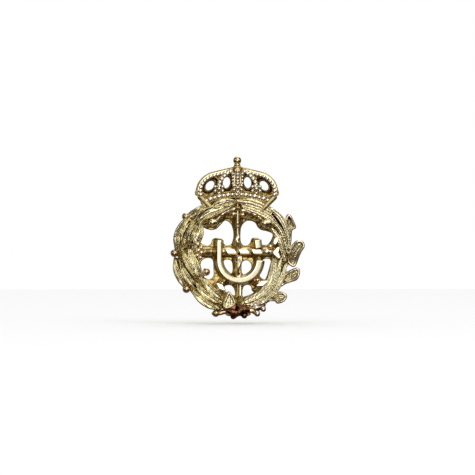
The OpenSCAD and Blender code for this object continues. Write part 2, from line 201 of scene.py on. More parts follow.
class Cast:
    """A solid on a grid. Its shapes are (low, high, field) with field(x, z, h) negative inside."""

    def __init__(self, low, high, cell=CELL):
        self.cell = cell
        self.low = np.array(low, float) - 3 * cell
        count = np.ceil((np.array(high, float) + 3 * cell - self.low) / cell).astype(int) + 1
        self.axes = [self.low[i] + cell * np.arange(count[i]) for i in range(3)]
        self.d = np.full(count, REACH, np.float32)

    def merge(self, shape, mix):
        """Changes the grid near a shape: mix(old, new) puts the grid's field and the shape's together."""
        low, high, field = shape
        cuts = tuple(
            slice(*np.searchsorted(axis, [low[i] - REACH, high[i] + REACH]))
            for i, axis in enumerate(self.axes)
        )
        x, z, h = np.ix_(*[axis[cut] for axis, cut in zip(self.axes, cuts)])
        if self.d[cuts].size:
            self.d[cuts] = mix(self.d[cuts], field(x, z, h))

    def add(self, shape, blend=0.12):
        self.merge(shape, lambda old, new: smooth_min(old, new, blend))

    def cut(self, shape, blend=0.12):
        self.merge(shape, lambda old, new: smooth_max(old, -new, blend))

    def trim(self, field):
        """Keeps only what lies inside a field given over the whole grid."""
        self.d = smooth_max(self.d, field(*np.ix_(*self.axes)), 0.1).astype(np.float32)

    def net(self):
        """Surface net: a vertex in each cell that the surface crosses, and a quad for each crossed edge."""
        d = self.d
        inside = d < 0
        span = [n - 1 for n in d.shape]
        corners = list(itertools.product((0, 1), repeat=3))
        full = sum(
            inside[a : a + span[0], b : b + span[1], c : c + span[2]].astype(np.int8)
            for a, b, c in corners
        )
        active = (full > 0) & (full < 8)
        cells = np.argwhere(active)
        number = np.full(active.shape, -1, np.int64)
        number[active] = np.arange(len(cells))
        total, hits = np.zeros((len(cells), 3)), np.zeros(len(cells))
        for p, q in itertools.combinations(corners, 2):
            step = np.subtract(q, p)
            if np.abs(step).sum() != 1:
                continue
            dp = d[tuple((cells + p).T)].astype(float)
            dq = d[tuple((cells + q).T)].astype(float)
            crossed = (dp < 0) != (dq < 0)
            t = np.where(crossed, dp / np.where(crossed, dp - dq, 1), 0)
            total += crossed[:, None] * (np.array(p) + t[:, None] * step)
            hits += crossed
        verts = self.low + self.cell * (cells + total / hits[:, None])
        quads = []
        for axis in range(3):
            u, v = (axis + 1) % 3, (axis + 2) % 3
            first = [slice(1, -1)] * 3
            first[axis] = slice(0, -1)
            second = list(first)
            second[axis] = slice(1, None)
            a, b = inside[tuple(first)], inside[tuple(second)]
            at = np.argwhere(a != b) + [0 if i == axis else 1 for i in range(3)]
            rising = a[a != b]
            around = []
            for du, dv in ((-1, -1), (0, -1), (0, 0), (-1, 0)):
                c = at.copy()
                c[:, u] += du
                c[:, v] += dv
                around.append(number[tuple(c.T)])
            ring = np.stack(around, 1)
            quads.append(np.where(rising[:, None], ring, ring[:, ::-1]))
        return verts, np.vstack(quads)

    def sample(self, points):
        """Field at points, by trilinear interpolation."""
        g = (points - self.low) / self.cell
        g = np.clip(g, 0, np.array(self.d.shape) - 1.001)
        i = np.floor(g).astype(int)
        f = g - i
        out = 0
        for corner in itertools.product((0, 1), repeat=3):
            weight = np.prod([f[:, k] if corner[k] else 1 - f[:, k] for k in range(3)], axis=0)
            out = out + weight * self.d[tuple((i + corner).T)]
        return out


# ---- Shapes of cast pieces ----


def bead(x0, z0, h0, r, squash=1.0):
    def field(x, z, h):
        return np.sqrt((x - x0) ** 2 + (z - z0) ** 2 + ((h - h0) / squash) ** 2) - r

    return (x0 - r, z0 - r, h0 - r * squash), (x0 + r, z0 + r, h0 + r * squash), field


def rod(points, radii):
    """Round bar through (x, z, h) points, with a radius at each or one for all."""
    points = np.array(points, float)
    radii = np.broadcast_to(np.array(radii, float), len(points))
    most = radii.max()

    def field(x, z, h):
        best = None
        for p, q, r0, r1 in zip(points[:-1], points[1:], radii[:-1], radii[1:]):
            step = q - p
            dx, dz, dh = x - p[0], z - p[1], h - p[2]
            t = np.clip((dx * step[0] + dz * step[1] + dh * step[2]) / (step @ step), 0, 1)
            d = np.sqrt((dx - t * step[0]) ** 2 + (dz - t * step[1]) ** 2 + (dh - t * step[2]) ** 2)
            d = d - (r0 + t * (r1 - r0))
            best = d if best is None else np.minimum(best, d)
        return best

    return points.min(0) - most, points.max(0) + most, field


def level_rod(path, h, radii):
    """Round bar along a flat path, at one height."""
    return rod([(x, z, h) for x, z in path], radii)


def planed(shape, top):
    """The same shape with its front planed off at one height."""
    low, high, field = shape
    return low, (high[0], high[1], top + 0.1), lambda x, z, h: smooth_max(field(x, z, h), h - top, 0.12)


def slab(distance, low, high, h0, h1, draft=0.0, rounding=0.15, rough=0.0):
    """Plate over a flat outline, with walls that lean in by draft mm for each mm towards the viewer."""

    def field(x, z, h):
        walls = distance(x, z) + draft * (h - h0)
        front = h - h1 - rough * grain(x, z, 1.2, 5)
        return smooth_max(smooth_max(walls, front, rounding), h0 - h, 0.1)

    return (low[0], low[1], h0), (high[0], high[1], h1), field


def strokes(*lines, blend=0.6):
    """Flat outline of joined strokes, each a (path, half width) pair."""

    def distance(x, z):
        best = None
        for path, half in lines:
            d, t, _ = nearest(x, z, path)
            d = d - np.interp(t, np.linspace(0, 1, np.size(half)), np.atleast_1d(half))
            best = d if best is None else smooth_min(best, d, blend)
        return best

    return distance


def bounds_of(*paths, pad=1.5):
    p = np.vstack([np.asarray(path, float)[:, :2] for path in paths])
    return p.min(0) - pad, p.max(0) + pad


def laurel_shape(t):
    """Width of a laurel leaf along its length, as a share of its greatest."""
    return np.sin(math.pi * np.clip(0.08 + 0.90 * t, 0, 1)) ** 0.75


def ribbon_shape(t):
    """Width of a leaf with nearly parallel sides."""
    return np.sin(math.pi * np.clip(0.14 + 0.80 * t, 0, 1)) ** 0.4


def leaf(path, width, foot, top, shape=laurel_shape, tilt=0.0, seed=1, look=None):
    """Leaf lying along a flat path. foot and top are heights; top is three values: base, middle and tip.

    look holds the curve across it, the depth of its valley, the height of its rims, of its grain and of the
    ridges that run along it. tilt is how far one side stands over the other.
    """
    arch_up, valley, rim, rough, lines = look or LAUREL_LOOK
    path = spline(path, 6)
    half = width / 2

    def field(x, z, h):
        d, t, side = nearest(x, z, path)
        wide = np.maximum(half * shape(t), 0.12)
        across = np.clip(d / wide, 0, 1.3)
        knobs = 1 + 0.8 * grain(x, z, 1.8, seed + 200)
        height = np.interp(t, [0, 0.5, 1], top)
        height = height - arch_up * half * across**2 + tilt * side * across
        height = height - valley * np.exp(-(((side * d + 0.3 * wide) / 0.26) ** 2))
        height = height + rim * knobs * np.exp(-(((across - 0.7) / 0.2) ** 2))
        height = height + lines * np.cos(math.tau * side * d / 0.62)
        height = height + rough * grain(x, z, 0.44, seed)
        return smooth_max(smooth_max(d - wide, h - height, 0.2), foot - h, 0.1)

    low, high = bounds_of(path, pad=half + 0.2)
    return (low[0], low[1], foot), (high[0], high[1], max(top) + 0.4), field


LAUREL_LOOK = (0.24, 0.38, 0.19, 0.016, 0.0)
OAK_LOOK = (0.42, 0.16, 0.14, 0.045, 0.045)
PLAIN_LOOK = (0.3, 0.05, 0.05, 0.05, 0.03)


def cup(ring, spine, foot, top, deep=1.2, lip=0.5, seed=1, drop=0.0):
    """Cupped leaf: a lip round a closed outline, and a hollow with a midrib. drop lowers its base end."""
    ring = ring_spline(ring, 6)
    spine = spline(spine, 6)

    def field(x, z, h):
        edge = outline_distance(x, z, ring)
        d, t, _ = nearest(x, z, spine)
        hollow = np.clip((-edge - lip) / 0.3, 0, 1)
        hollow = hollow * hollow * (3 - 2 * hollow)
        height = top - drop * (1 - t) - deep * hollow + 0.03 * grain(x, z, 1.7, seed + 300)
        height = height - 0.35 * np.clip(1 + edge / 0.28, 0, 1) ** 2
        height = height + hollow * (0.14 * np.exp(-((d / 0.3) ** 2)) + 0.02 * grain(x, z, 0.45, seed))
        return smooth_max(smooth_max(edge, h - height, 0.25), foot - h, 0.1)

    low, high = bounds_of(ring, pad=0.2)
    return (low[0], low[1], foot), (high[0], high[1], top + 0.3), field


# ---- Meshes ----


def mesh_object(name, verts, faces, material):
    """Object from (x, z, h) points in mm."""
    verts = np.asarray(verts, float)
    place = np.stack([verts[:, 0], -verts[:, 2], verts[:, 1]], 1) * MM
    mesh = bpy.data.meshes.new(name)
    mesh.from_pydata(place.tolist(), [], [list(map(int, f)) for f in faces])
    mesh.validate()
    mesh.polygons.foreach_set("use_smooth", [True] * len(mesh.polygons))
    mesh.materials.append(material)
    mesh.update()
    obj = bpy.data.objects.new(name, mesh)
    bpy.context.collection.objects.link(obj)
    return obj


def face_normals_to_verts(verts, quads):
    a, b, c, d = (verts[quads[:, i]] for i in range(4))
    normal = np.cross(c - a, d - b)
    out = np.zeros_like(verts)
    for i in range(4):
        np.add.at(out, quads[:, i], normal)
    return out / np.maximum(np.linalg.norm(out, axis=1, keepdims=True), 1e-12)


def store(obj, name, values):
    """Stores one number at each vertex, for the materials to read."""
    layer = obj.data.attributes.new(name, "FLOAT", "POINT")
    layer.data.foreach_set("value", np.asarray(values, np.float32))


def cast_object(name, cast, material, probe=0.45, shaded_front=False):
    verts, quads = cast.net()
    normal = face_normals_to_verts(verts, quads)
    # painted shade: hollow is how little open air lies just outside the surface, and the materials darken the
    # colour there
    open_air = cast.sample(verts + probe * normal) / probe
    hollow = np.clip(1.0 - open_air, 0, 1)
    # painted shade: with shaded_front the front of a plate, seen only in the gaps between the pieces over it,
    # is darkened as well
    if shaded_front:
        hollow = np.maximum(hollow, np.clip((verts[:, 2] - BACK - 0.3) / (FRONT - BACK - 0.6), 0, 1))
    obj = mesh_object(name, verts, quads, material)
    if len(obj.data.vertices) == len(verts):
        store(obj, "hollow", hollow)
        store(obj, "edge", np.clip(1 + cast.sample(verts - 0.28 * normal) / 0.28, 0, 1))
    return obj


def rings_object(name, rings, material):
    """Skin over rings of equal point count, capped at both ends."""
    rings = np.array(rings, float)
    n, m = rings.shape[:2]
    verts = rings.reshape(-1, 3)
    faces = [
        (i * m + j, i * m + (j + 1) % m, (i + 1) * m + (j + 1) % m, (i + 1) * m + j)
        for i in range(n - 1)
        for j in range(m)
    ]
    faces.append(tuple(range(m))[::-1])
    faces.append(tuple((n - 1) * m + j for j in range(m)))
    obj = mesh_object(name, verts, faces, material)
    mend(obj)
    return obj


def mend(obj, welded=False):
    """Turns the faces outwards. welded drops the end caps of a ring-shaped skin and closes it on itself."""
    work = bmesh.new()
    work.from_mesh(obj.data)
    if welded:
        bmesh.ops.delete(work, geom=[face for face in work.faces if len(face.verts) > 4], context="FACES")
        bmesh.ops.remove_doubles(work, verts=work.verts, dist=1e-7)
    bmesh.ops.recalc_face_normals(work, faces=work.faces)
    work.to_mesh(obj.data)
    work.free()


def join(name, objects):
    """Joins objects into one, under a new name."""
    for other in bpy.context.selected_objects:
        other.select_set(False)
    for obj in objects:
        obj.select_set(True)
    bpy.context.view_layer.objects.active = objects[0]
    bpy.ops.object.join()
    objects[0].name = name
    objects[0].data.name = name
    return objects[0]


def turned(name, profile, place, material, sides=40, shaper=None):
    """Lathe shape. profile holds (along, radius); place(along, a, b) gives (x, z, h) at a, b off the axis.

    shaper(along, angle) is a share of the radius. Where it is well under 1 the surface counts as a hollow and
    gets painted shade.
    """
    rings, painted_groove_shade = [], []
    for along, radius in profile:
        ring = []
        for i in range(sides):
            angle = math.tau * i / sides
            share = shaper(along, angle) if shaper else 1
            r = radius * share
            ring.append(place(along, r * math.cos(angle), r * math.sin(angle)))
            # painted shade in the grooves, deeper where the shaper cuts further in
            painted_groove_shade.append(2.5 * max(0.85 - share, 0))
        rings.append(ring)
    obj = rings_object(name, rings, material)
    if shaper:
        store(obj, "hollow", np.array(painted_groove_shade))
    return obj


def upright(x0, h0):
    return lambda along, a, b: (x0 + a, along, h0 + b)


def across(z0, h0):
    return lambda along, a, b: (along, z0 + a, h0 + b)


def outward(x0, z0):
    """Axis towards the back: along is the frame's +Y."""
    return lambda along, a, b: (x0 + a, z0 + b, -along)


def curved_profile(points, step=0.08):
    """Smooth profile through (along, radius) points."""
    p = np.array(points, float)
    length = np.abs(np.diff(p[:, 0])).sum() + np.abs(np.diff(p[:, 1])).sum()
    return spline(p, max(3, int(length / step / (len(p) - 1))))


def forward(x0, z0):
    """Axis towards the viewer."""
    return lambda along, a, b: (x0 + a, z0 + b, along)


def balls(name, places, material):
    """Beads joined in one object. places holds (x, z, h, radius, flatness)."""
    parts = []
    for x0, z0, h0, r, flat in places:
        angles = [math.pi * i / 10 for i in range(11)]
        profile = [(h0 + flat * r * math.cos(a), max(r * math.sin(a), 0.002)) for a in angles]
        parts.append(turned(name, profile, forward(x0, z0), material, 16))
    return join(name, parts)


def swept(name, path, section, material, top, foot):
    """Bar along a flat path. section(share) lists (offset, share of height); top(x, z, share) is its top."""
    path = np.asarray(path, float)
    run = np.concatenate([[0], np.cumsum(np.linalg.norm(np.diff(path, axis=0), axis=1))])
    run /= run[-1]
    tangent = np.gradient(path, axis=0)
    tangent /= np.linalg.norm(tangent, axis=1, keepdims=True)
    side = np.stack([-tangent[:, 1], tangent[:, 0]], 1)
    rings = []
    for p, s, t in zip(path, side, run):
        ring = []
        for offset, rise in section(t):
            x, z = p + offset * s
            ring.append((x, z, foot + rise * (top(x, z, t) - foot)))
        rings.append(ring)
    return rings_object(name, rings, material)


def bar_section(half, lean=0.25, bevel=0.16):
    """Flat-topped bar with leaning walls and rounded top edges."""
    corner = [
        (half - bevel + bevel * math.sin(a), 1 - 0.09 * (1 - math.cos(a)))
        for a in np.linspace(0, math.pi / 2, 5)
    ]
    right = corner + [(half + 0.12 * lean, 0.6), (half + 0.6 * lean, 0.25), (half + lean, 0.0)]
    flat = [(half - bevel) * s for s in (-0.6, -0.2, 0.2, 0.6)]
    left = [(-o, r) for o, r in right[::-1]]
    return left + [(o, 1.0) for o in flat] + right


# ---- Materials ----


def new_material(name):
    material = bpy.data.materials.new(name)
    material.use_nodes = True
    tree = material.node_tree
    return material, tree, tree.nodes["Principled BSDF"]


def feed(tree, socket, value):
    """Gives a socket a number, or links another node's output to it."""
    if isinstance(value, bpy.types.NodeSocket):
        tree.links.new(value, socket)
    else:
        socket.default_value = value


def mapped(tree, value, from_low, from_high, to_low, to_high, kind="LINEAR"):
    node = tree.nodes.new("ShaderNodeMapRange")
    node.interpolation_type = kind
    words = ("Value", "From Min", "From Max", "To Min", "To Max")
    for word, given in zip(words, (value, from_low, from_high, to_low, to_high)):
        feed(tree, node.inputs[word], given)
    return node.outputs["Result"]


def combined(tree, operation, a, b, clamp=False):
    node = tree.nodes.new("ShaderNodeMath")
    node.operation = operation
    node.use_clamp = clamp
    feed(tree, node.inputs[0], a)
    feed(tree, node.inputs[1], b)
    return node.outputs["Value"]


def noise(tree, lump, detail, roughness):
    """Noise over the object, with lumps of a size in mm."""
    place = tree.nodes.new("ShaderNodeTexCoord")
    node = tree.nodes.new("ShaderNodeTexNoise")
    node.inputs["Scale"].default_value = 1 / (lump * MM)
    node.inputs["Detail"].default_value = detail
    node.inputs["Roughness"].default_value = roughness
    tree.links.new(place.outputs["Object"], node.inputs["Vector"])
    return node.outputs["Fac"]


def stored(tree, name):
    """Number that store() left at the vertices."""
    node = tree.nodes.new("ShaderNodeAttribute")
    node.attribute_name = name
    return node.outputs["Fac"]


def gold(name, light, dark, roughness, spread, grain_mm, grain_depth, patches=0.35, polish=0.0):
    """Gilt metal: colour drifts in patches and darkens in hollows as painted shade, with grain as bump and as
    roughness.

    patches is how dark the patches get, and polish how far the edges lose their roughness and their grain.
    """
    material, tree, shader = new_material(name)
    link = tree.links.new
    fine = noise(tree, grain_mm, 4, 0.6)
    # painted shade: the stored hollow measure pulls the colour towards the dark colour
    depth = mapped(tree, stored(tree, "hollow"), 0.12, 0.75, 0.0, 1.0)
    patch = mapped(tree, noise(tree, 4.0, 3, 0.5), 0.35, 0.75, 0.0, patches)
    colour = tree.nodes.new("ShaderNodeMix")
    colour.data_type = "RGBA"
    colour.inputs["A"].default_value = (*light, 1)
    colour.inputs["B"].default_value = (*dark, 1)
    link(combined(tree, "ADD", depth, patch, clamp=True), colour.inputs["Factor"])
    link(colour.outputs["Result"], shader.inputs["Base Color"])
    rough = mapped(tree, fine, 0.0, 1.0, roughness - spread, roughness + spread)
    worn = mapped(tree, stored(tree, "edge"), 0.15, 0.55, 1.0, 1.0 - polish)
    link(combined(tree, "MULTIPLY", rough, worn), shader.inputs["Roughness"])
    bump = tree.nodes.new("ShaderNodeBump")
    link(worn, bump.inputs["Strength"])
    bump.inputs["Distance"].default_value = grain_depth * MM
    link(fine, bump.inputs["Height"])
    link(bump.outputs["Normal"], shader.inputs["Normal"])
    shader.inputs["Metallic"].default_value = 1.0
    return material


# name, light colour, dark colour (of the patches and of the painted shade in hollows), roughness, its spread,
# grain in mm, its depth in mm, patches, polish
POLISHED = gold("polished_gold", (0.90, 0.73, 0.38), (0.50, 0.33, 0.12), 0.12, 0.04, 0.5, 0.012)
BRIGHT = gold("bright_gold", (0.98, 0.87, 0.60), (0.70, 0.48, 0.18), 0.10, 0.03, 0.6, 0.006, 0.1)
SATIN = gold("satin_gold", (0.99, 0.89, 0.55), (0.13, 0.10, 0.02), 0.23, 0.08, 0.2, 0.032, 0.15, 0.85)
# web gold; also the painted shade on the bow's side walls
WEB = gold("web_gold", (0.70, 0.53, 0.20), (0.22, 0.14, 0.03), 0.28, 0.08, 0.3, 0.02)
ARCH = gold("arch_gold", (0.88, 0.72, 0.40), (0.14, 0.08, 0.02), 0.18, 0.06, 0.3, 0.02)
# painted shade: a darker copy of the gold for the crown's recessed plate
SHADED_RECESS = gold("shaded_recess_gold", (0.60, 0.47, 0.22), (0.24, 0.17, 0.06), 0.2, 0.08, 0.3, 0.03)
PEARL = gold("pearl_gold", (1.0, 0.93, 0.76), (0.75, 0.55, 0.28), 0.12, 0.03, 0.4, 0.006, 0.1)
CUPPED = gold("cupped_leaf_gold", (0.99, 0.86, 0.64), (0.16, 0.08, 0.03), 0.13, 0.05, 0.25, 0.012, 0.1, 0.4)
ROPE = gold("rope_gold", (0.99, 0.88, 0.60), (0.10, 0.05, 0.01), 0.1, 0.03, 0.5, 0.008, 0.05)
BERRY = gold("berry_gold", (0.86, 0.66, 0.42), (0.34, 0.17, 0.09), 0.08, 0.03, 0.4, 0.006)
RUDDY = gold("ruddy_gold", (0.26, 0.12, 0.06), (0.06, 0.02, 0.01), 0.1, 0.05, 0.4, 0.02)
BACKING = gold("cast_back_gold", (0.72, 0.56, 0.26), (0.26, 0.19, 0.06), 0.38, 0.1, 0.25, 0.04, 0.1)
BRASS = gold("turned_brass", (0.82, 0.64, 0.32), (0.60, 0.44, 0.18), 0.24, 0.06, 0.2, 0.008, 0.2)


def keep(obj, node, body="badge"):
    """Fixes a finished piece to its body and lets it stand for a CAD node."""
    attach(obj, body)
    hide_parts(node)
    return obj


def keep_cast(cast, node, material, name=None, **looks):
    return keep(cast_object(name or f"{node}_v", cast, material, **looks), node)


def keep_turned(node, profile, place, material, sides=40, shaper=None):
    return keep(turned(f"{node}_v", profile, place, material, sides, shaper), node)


# ---- Openings ----

OPENINGS = [  # outlines of the holes right through the badge's middle, at the back
    # upper left and upper right
    [(-8.9, 7.2), (-7.6, 6.7), (-6.4, 6.6), (-5.2, 6.9), (-4.2, 8.0), (-3.0, 9.0), (-1.8, 8.3), (-1.1, 6.6),
     (-1.05, 4.6), (-1.6, 3.1), (-2.8, 2.8), (-3.6, 3.5), (-3.9, 4.4), (-5.2, 4.7), (-6.4, 4.4), (-6.9, 3.1),
     (-8.0, 2.7), (-9.6, 3.7), (-9.3, 5.2)],
    [(0.95, 6.0), (1.25, 7.6), (2.2, 8.7), (3.5, 9.0), (4.7, 8.5), (5.4, 7.3), (6.4, 6.6), (7.8, 6.3),
     (9.2, 5.6), (8.9, 4.2), (7.9, 3.0), (6.6, 3.0), (6.1, 4.1), (5.3, 4.7), (3.9, 4.6), (3.3, 3.4),
     (2.3, 2.7), (1.3, 3.1), (0.95, 4.3)],
    # inside the bow, left and right of the staff
    [(-3.4, -1.5), (-2.5, -1.05), (-1.5, -1.5), (-1.2, -3.0), (-1.35, -4.3), (-2.0, -4.7), (-3.0, -3.9),
     (-3.6, -2.6)],
    [(1.3, -2.1), (1.9, -1.4), (2.9, -1.4), (3.6, -2.2), (3.6, -3.3), (2.9, -4.4), (1.9, -4.85), (1.3, -4.2)],
    # left and right of the bow
    [(-9.3, -1.8), (-8.5, -0.9), (-7.2, -0.7), (-6.4, -1.3), (-6.2, -3.4), (-6.2, -5.1), (-6.8, -5.9),
     (-7.8, -5.9), (-8.7, -5.2), (-9.4, -3.6)],
    [(6.6, -1.3), (7.6, -0.9), (8.6, -1.1), (8.8, -2.3), (8.4, -4.3), (7.8, -5.9), (7.0, -6.1), (6.1, -5.4),
     (6.1, -4.4), (6.5, -2.9)],
    # under the bow, left and right of the staff's foot
    [(-3.2, -8.1), (-2.3, -7.7), (-1.3, -8.0), (-0.7, -9.0), (-0.5, -10.2), (-1.3, -10.1), (-2.3, -9.4),
     (-3.0, -9.2)],
    [(1.6, -8.6), (2.1, -7.9), (3.0, -7.7), (3.6, -8.2), (3.8, -9.0), (4.3, -9.6), (3.5, -10.0), (2.4, -10.4),
     (1.5, -10.5)],
]


def openings_distance(x, z):
    """Distance to the nearest opening, negative inside one."""
    return np.minimum.reduce([outline_distance(x, z, ring_spline(ring, 4)) for ring in OPENINGS])


# ---- Laurel branch ----

LAUREL_OUTER = [  # path from base to tip, width, tilt
    ([(-15.5, 1.5), (-15.55, 5.0), (-14.2, 8.0), (-11.9, 10.9)], 2.05, 0.10),
    ([(-13.4, -8.0), (-15.1, -5.4), (-16.0, -3.0), (-16.1, -0.7)], 1.85, 0.10),
    ([(-5.0, -13.6), (-7.6, -12.6), (-10.0, -10.8), (-12.0, -8.6)], 2.05, 0.12),
    ([(-12.2, 10.2), (-10.8, 11.4), (-9.4, 12.2), (-8.0, 13.6)], 1.80, 0.0),
    ([(-7.4, 11.6), (-5.4, 12.7), (-3.2, 13.6), (-0.1, 14.1)], 2.80, 0.1),
]
LAUREL_MIDDLE = [
    ([(-14.2, 1.9), (-13.9, 4.6), (-12.6, 7.4), (-10.5, 9.7)], 1.80, 0.14),
    ([(-11.0, -5.4), (-12.3, -3.2), (-13.5, -0.8), (-14.5, 1.9)], 1.80, 0.14),
    ([(-10.1, -8.5), (-12.3, -6.5), (-13.9, -4.0), (-14.9, -1.0)], 1.90, 0.12),
    ([(-4.2, -12.1), (-6.8, -10.9), (-9.2, -9.1), (-11.0, -6.8)], 1.90, 0.12),
    ([(-10.9, 9.0), (-9.3, 10.8), (-7.3, 11.9), (-5.4, 12.8)], 1.90, 0.1),
    ([(-9.9, 8.7), (-8.3, 10.3), (-5.6, 11.6), (-1.6, 12.9)], 2.40, 0.0),
]
LAUREL_INNER = [
    ([(-12.7, 2.4), (-12.1, 4.6), (-11.3, 6.7), (-10.0, 8.8)], 1.65, 0.1),
    ([(-11.6, 1.4), (-10.3, 4.4), (-9.6, 6.6), (-9.9, 8.9)], 2.20, 0.0),
    ([(-9.6, -5.7), (-10.4, -3.6), (-11.4, -1.4), (-12.7, 2.0)], 2.60, 0.1),
    ([(-3.9, -10.9), (-5.9, -9.5), (-7.7, -7.7), (-9.7, -5.6)], 2.10, 0.1),
]
TILT = 2.4  # how strongly the leaves of both branches lean over one another
LAUREL_ROWS = [  # node, leaves, heights at the base, the middle and the tip, seed
    ("laurel_leaves_outer", LAUREL_OUTER, (3.0, 3.3, 3.0), 10),
    ("laurel_leaves_middle", LAUREL_MIDDLE, (2.9, 3.25, 3.2), 30),
    ("laurel_leaves_inner", LAUREL_INNER, (2.5, 2.9, 2.7), 50),
]


def leaf_row(node, rows, heights, seed, shape=laurel_shape, look=None):
    low, high = bounds_of(*[path for path, _, _ in rows], pad=1.6)
    cast = Cast((*low, BACK), (*high, max(heights) + 0.6))
    for i, (path, width, tilt) in enumerate(rows):
        cast.add(leaf(path, width, FRONT - 0.35, heights, shape, TILT * tilt, seed + i, look), 0.05)
    keep_cast(cast, node, SATIN)


def backing(node, name, rows, extra, half):
    """Plate under a branch: the leaves' own outlines, grown together, open where the badge is.

    half is 1 for the branch left of the seam at x = 0, and -1 for the one right of it.
    """
    widths = np.array([0.7, 1.0, 0.98, 0.7, 0.45])  # from base to tip
    lines = [(spline(path, 3), 0.5 * width * widths) for path, width, _ in rows] + extra
    low, high = bounds_of(*[path for path, _ in lines], pad=1.8)
    grown = strokes(*lines, blend=0.9)

    def distance(x, z):
        return smooth_max(grown(x, z), -openings_distance(x, z), 0.2)

    cast = Cast((*low, BACK - 0.1), (*high, FRONT + 0.5), cell=0.13)
    cast.add(slab(distance, low, high, BACK, FRONT, draft=0.1, rounding=0.3, rough=0.14))
    cast.trim(lambda x, z, h: half * x + 0.015 + 0 * h)
    # painted shade: the plate's front, seen only between the leaves over it, is darkened
    keep_cast(cast, node, BACKING, name, shaded_front=True)


def laurel_branch():
    for row in LAUREL_ROWS:
        leaf_row(*row)
    stem = [(spline([spot(a, 0.79) for a in (80, 105, 120, 150, 180, 210, 240, 262, 276)], 4), 2.2)]
    leaves = LAUREL_OUTER + LAUREL_MIDDLE + LAUREL_INNER
    backing("laurel_ring_plate", "laurel_backing", leaves, stem, 1)


BERRIES = [  # centre, radius, where its stalk starts
    ((-13.4, 10.15), 0.92, (-12.2, 9.2)),
    ((-16.35, 0.65), 0.92, (-15.2, 0.2)),
    ((-13.25, -8.65), 0.92, (-12.3, -7.7)),
    ((-8.1, -4.2), 0.92, (-9.2, -5.2)),
    ((-5.6, -14.95), 0.85, (-4.0, -14.4)),
]


def laurel_berries():
    low, high = bounds_of([at for at, _, _ in BERRIES], pad=2.2)
    cast = Cast((*low, BACK), (*high, 3.9), cell=0.09)
    for (x, z), r, (sx, sz) in BERRIES:
        h = FRONT + 0.75
        cast.add(rod([(sx, sz, FRONT - 0.3), (x, z, h - 0.5)], [0.5, 0.62]))
        cast.add(bead(x, z, h, r), 0.1)
        cast.add(bead(x, z, h - 0.3, r + 0.1, 0.35), 0.1)
    keep_cast(cast, "laurel_berries", BERRY)


# ---- Oak branch ----

OAK_RING = [  # path from base to tip, width, tilt
    ([(13.3, 2.2), (12.9, 6.0), (11.4, 9.4), (8.8, 12.2)], 1.7, -0.12),
    ([(12.9, 0.8), (12.0, 4.2), (10.6, 7.2), (7.6, 9.9)], 1.35, -0.14),
    ([(12.2, -1.0), (11.6, 1.8), (10.7, 4.4), (8.9, 6.9)], 1.5, -0.1),
    ([(8.6, 11.4), (6.2, 12.6), (3.4, 13.6), (0.1, 14.1)], 2.7, -0.1),
    ([(9.9, 8.2), (8.4, 9.9), (5.6, 11.4), (1.6, 12.8)], 2.2, 0.0),
    ([(6.2, -12.1), (9.2, -9.6), (11.2, -6.4), (12.6, -2.2)], 1.7, -0.14),
    ([(4.6, -11.6), (7.8, -9.2), (10.0, -5.8), (11.3, -0.8)], 1.5, -0.08),
]
OAK_STEM = [
    ([(2.4, -11.6), (6.2, -9.6), (8.6, -6.0), (9.6, -1.0)], 2.4, -0.2),
    ([(1.6, -12.4), (4.6, -11.6), (7.0, -10.0), (9.0, -7.6)], 1.9, 0.0),
]
OAK_CUPS = [  # outline, spine from base to tip, lip height, how far the base end drops
    ([(13.2, 3.0), (12.5, 6.4), (12.5, 9.6), (13.2, 10.8), (14.1, 10.2), (15.3, 7.4), (14.3, 6.4),
      (14.1, 3.6)],
     [(13.6, 3.6), (13.5, 7.0), (13.7, 9.9)], 3.1, 0.9),
    ([(12.9, -1.4), (13.3, 1.1), (14.4, 3.0), (15.6, 4.0), (17.0, 3.8), (17.5, 2.4), (16.5, 0.6),
      (15.2, -2.6), (13.9, -2.7)],
     [(13.7, -1.6), (14.6, 0.8), (16.2, 2.9)], 3.4, 0.9),
    ([(11.4, -8.0), (11.5, -6.0), (12.6, -4.5), (14.2, -3.5), (15.8, -3.1), (16.3, -4.3), (15.6, -6.2),
      (14.0, -6.9), (12.6, -7.4)],
     [(11.9, -7.4), (13.4, -5.6), (15.2, -4.3)], 3.3, 0.8),
    ([(7.4, -12.4), (8.0, -10.8), (9.6, -9.7), (11.6, -9.3), (12.9, -10.3), (12.3, -11.8), (10.5, -12.5),
      (9.7, -11.9), (8.5, -11.9)],
     [(8.0, -11.9), (9.8, -10.8), (11.8, -10.9)], 3.2, 0.8),
]


def inlay(obj, material, rings, inset):
    """Gives the faces more than inset inside any of some outlines a second material."""
    centres = np.array([face.center for face in obj.data.polygons]) / MM
    edges = [outline_distance(centres[:, 0], centres[:, 2], ring_spline(ring, 6)) for ring in rings]
    obj.data.materials.append(material)
    obj.data.polygons.foreach_set("material_index", (np.minimum.reduce(edges) < -inset).astype(np.int32))


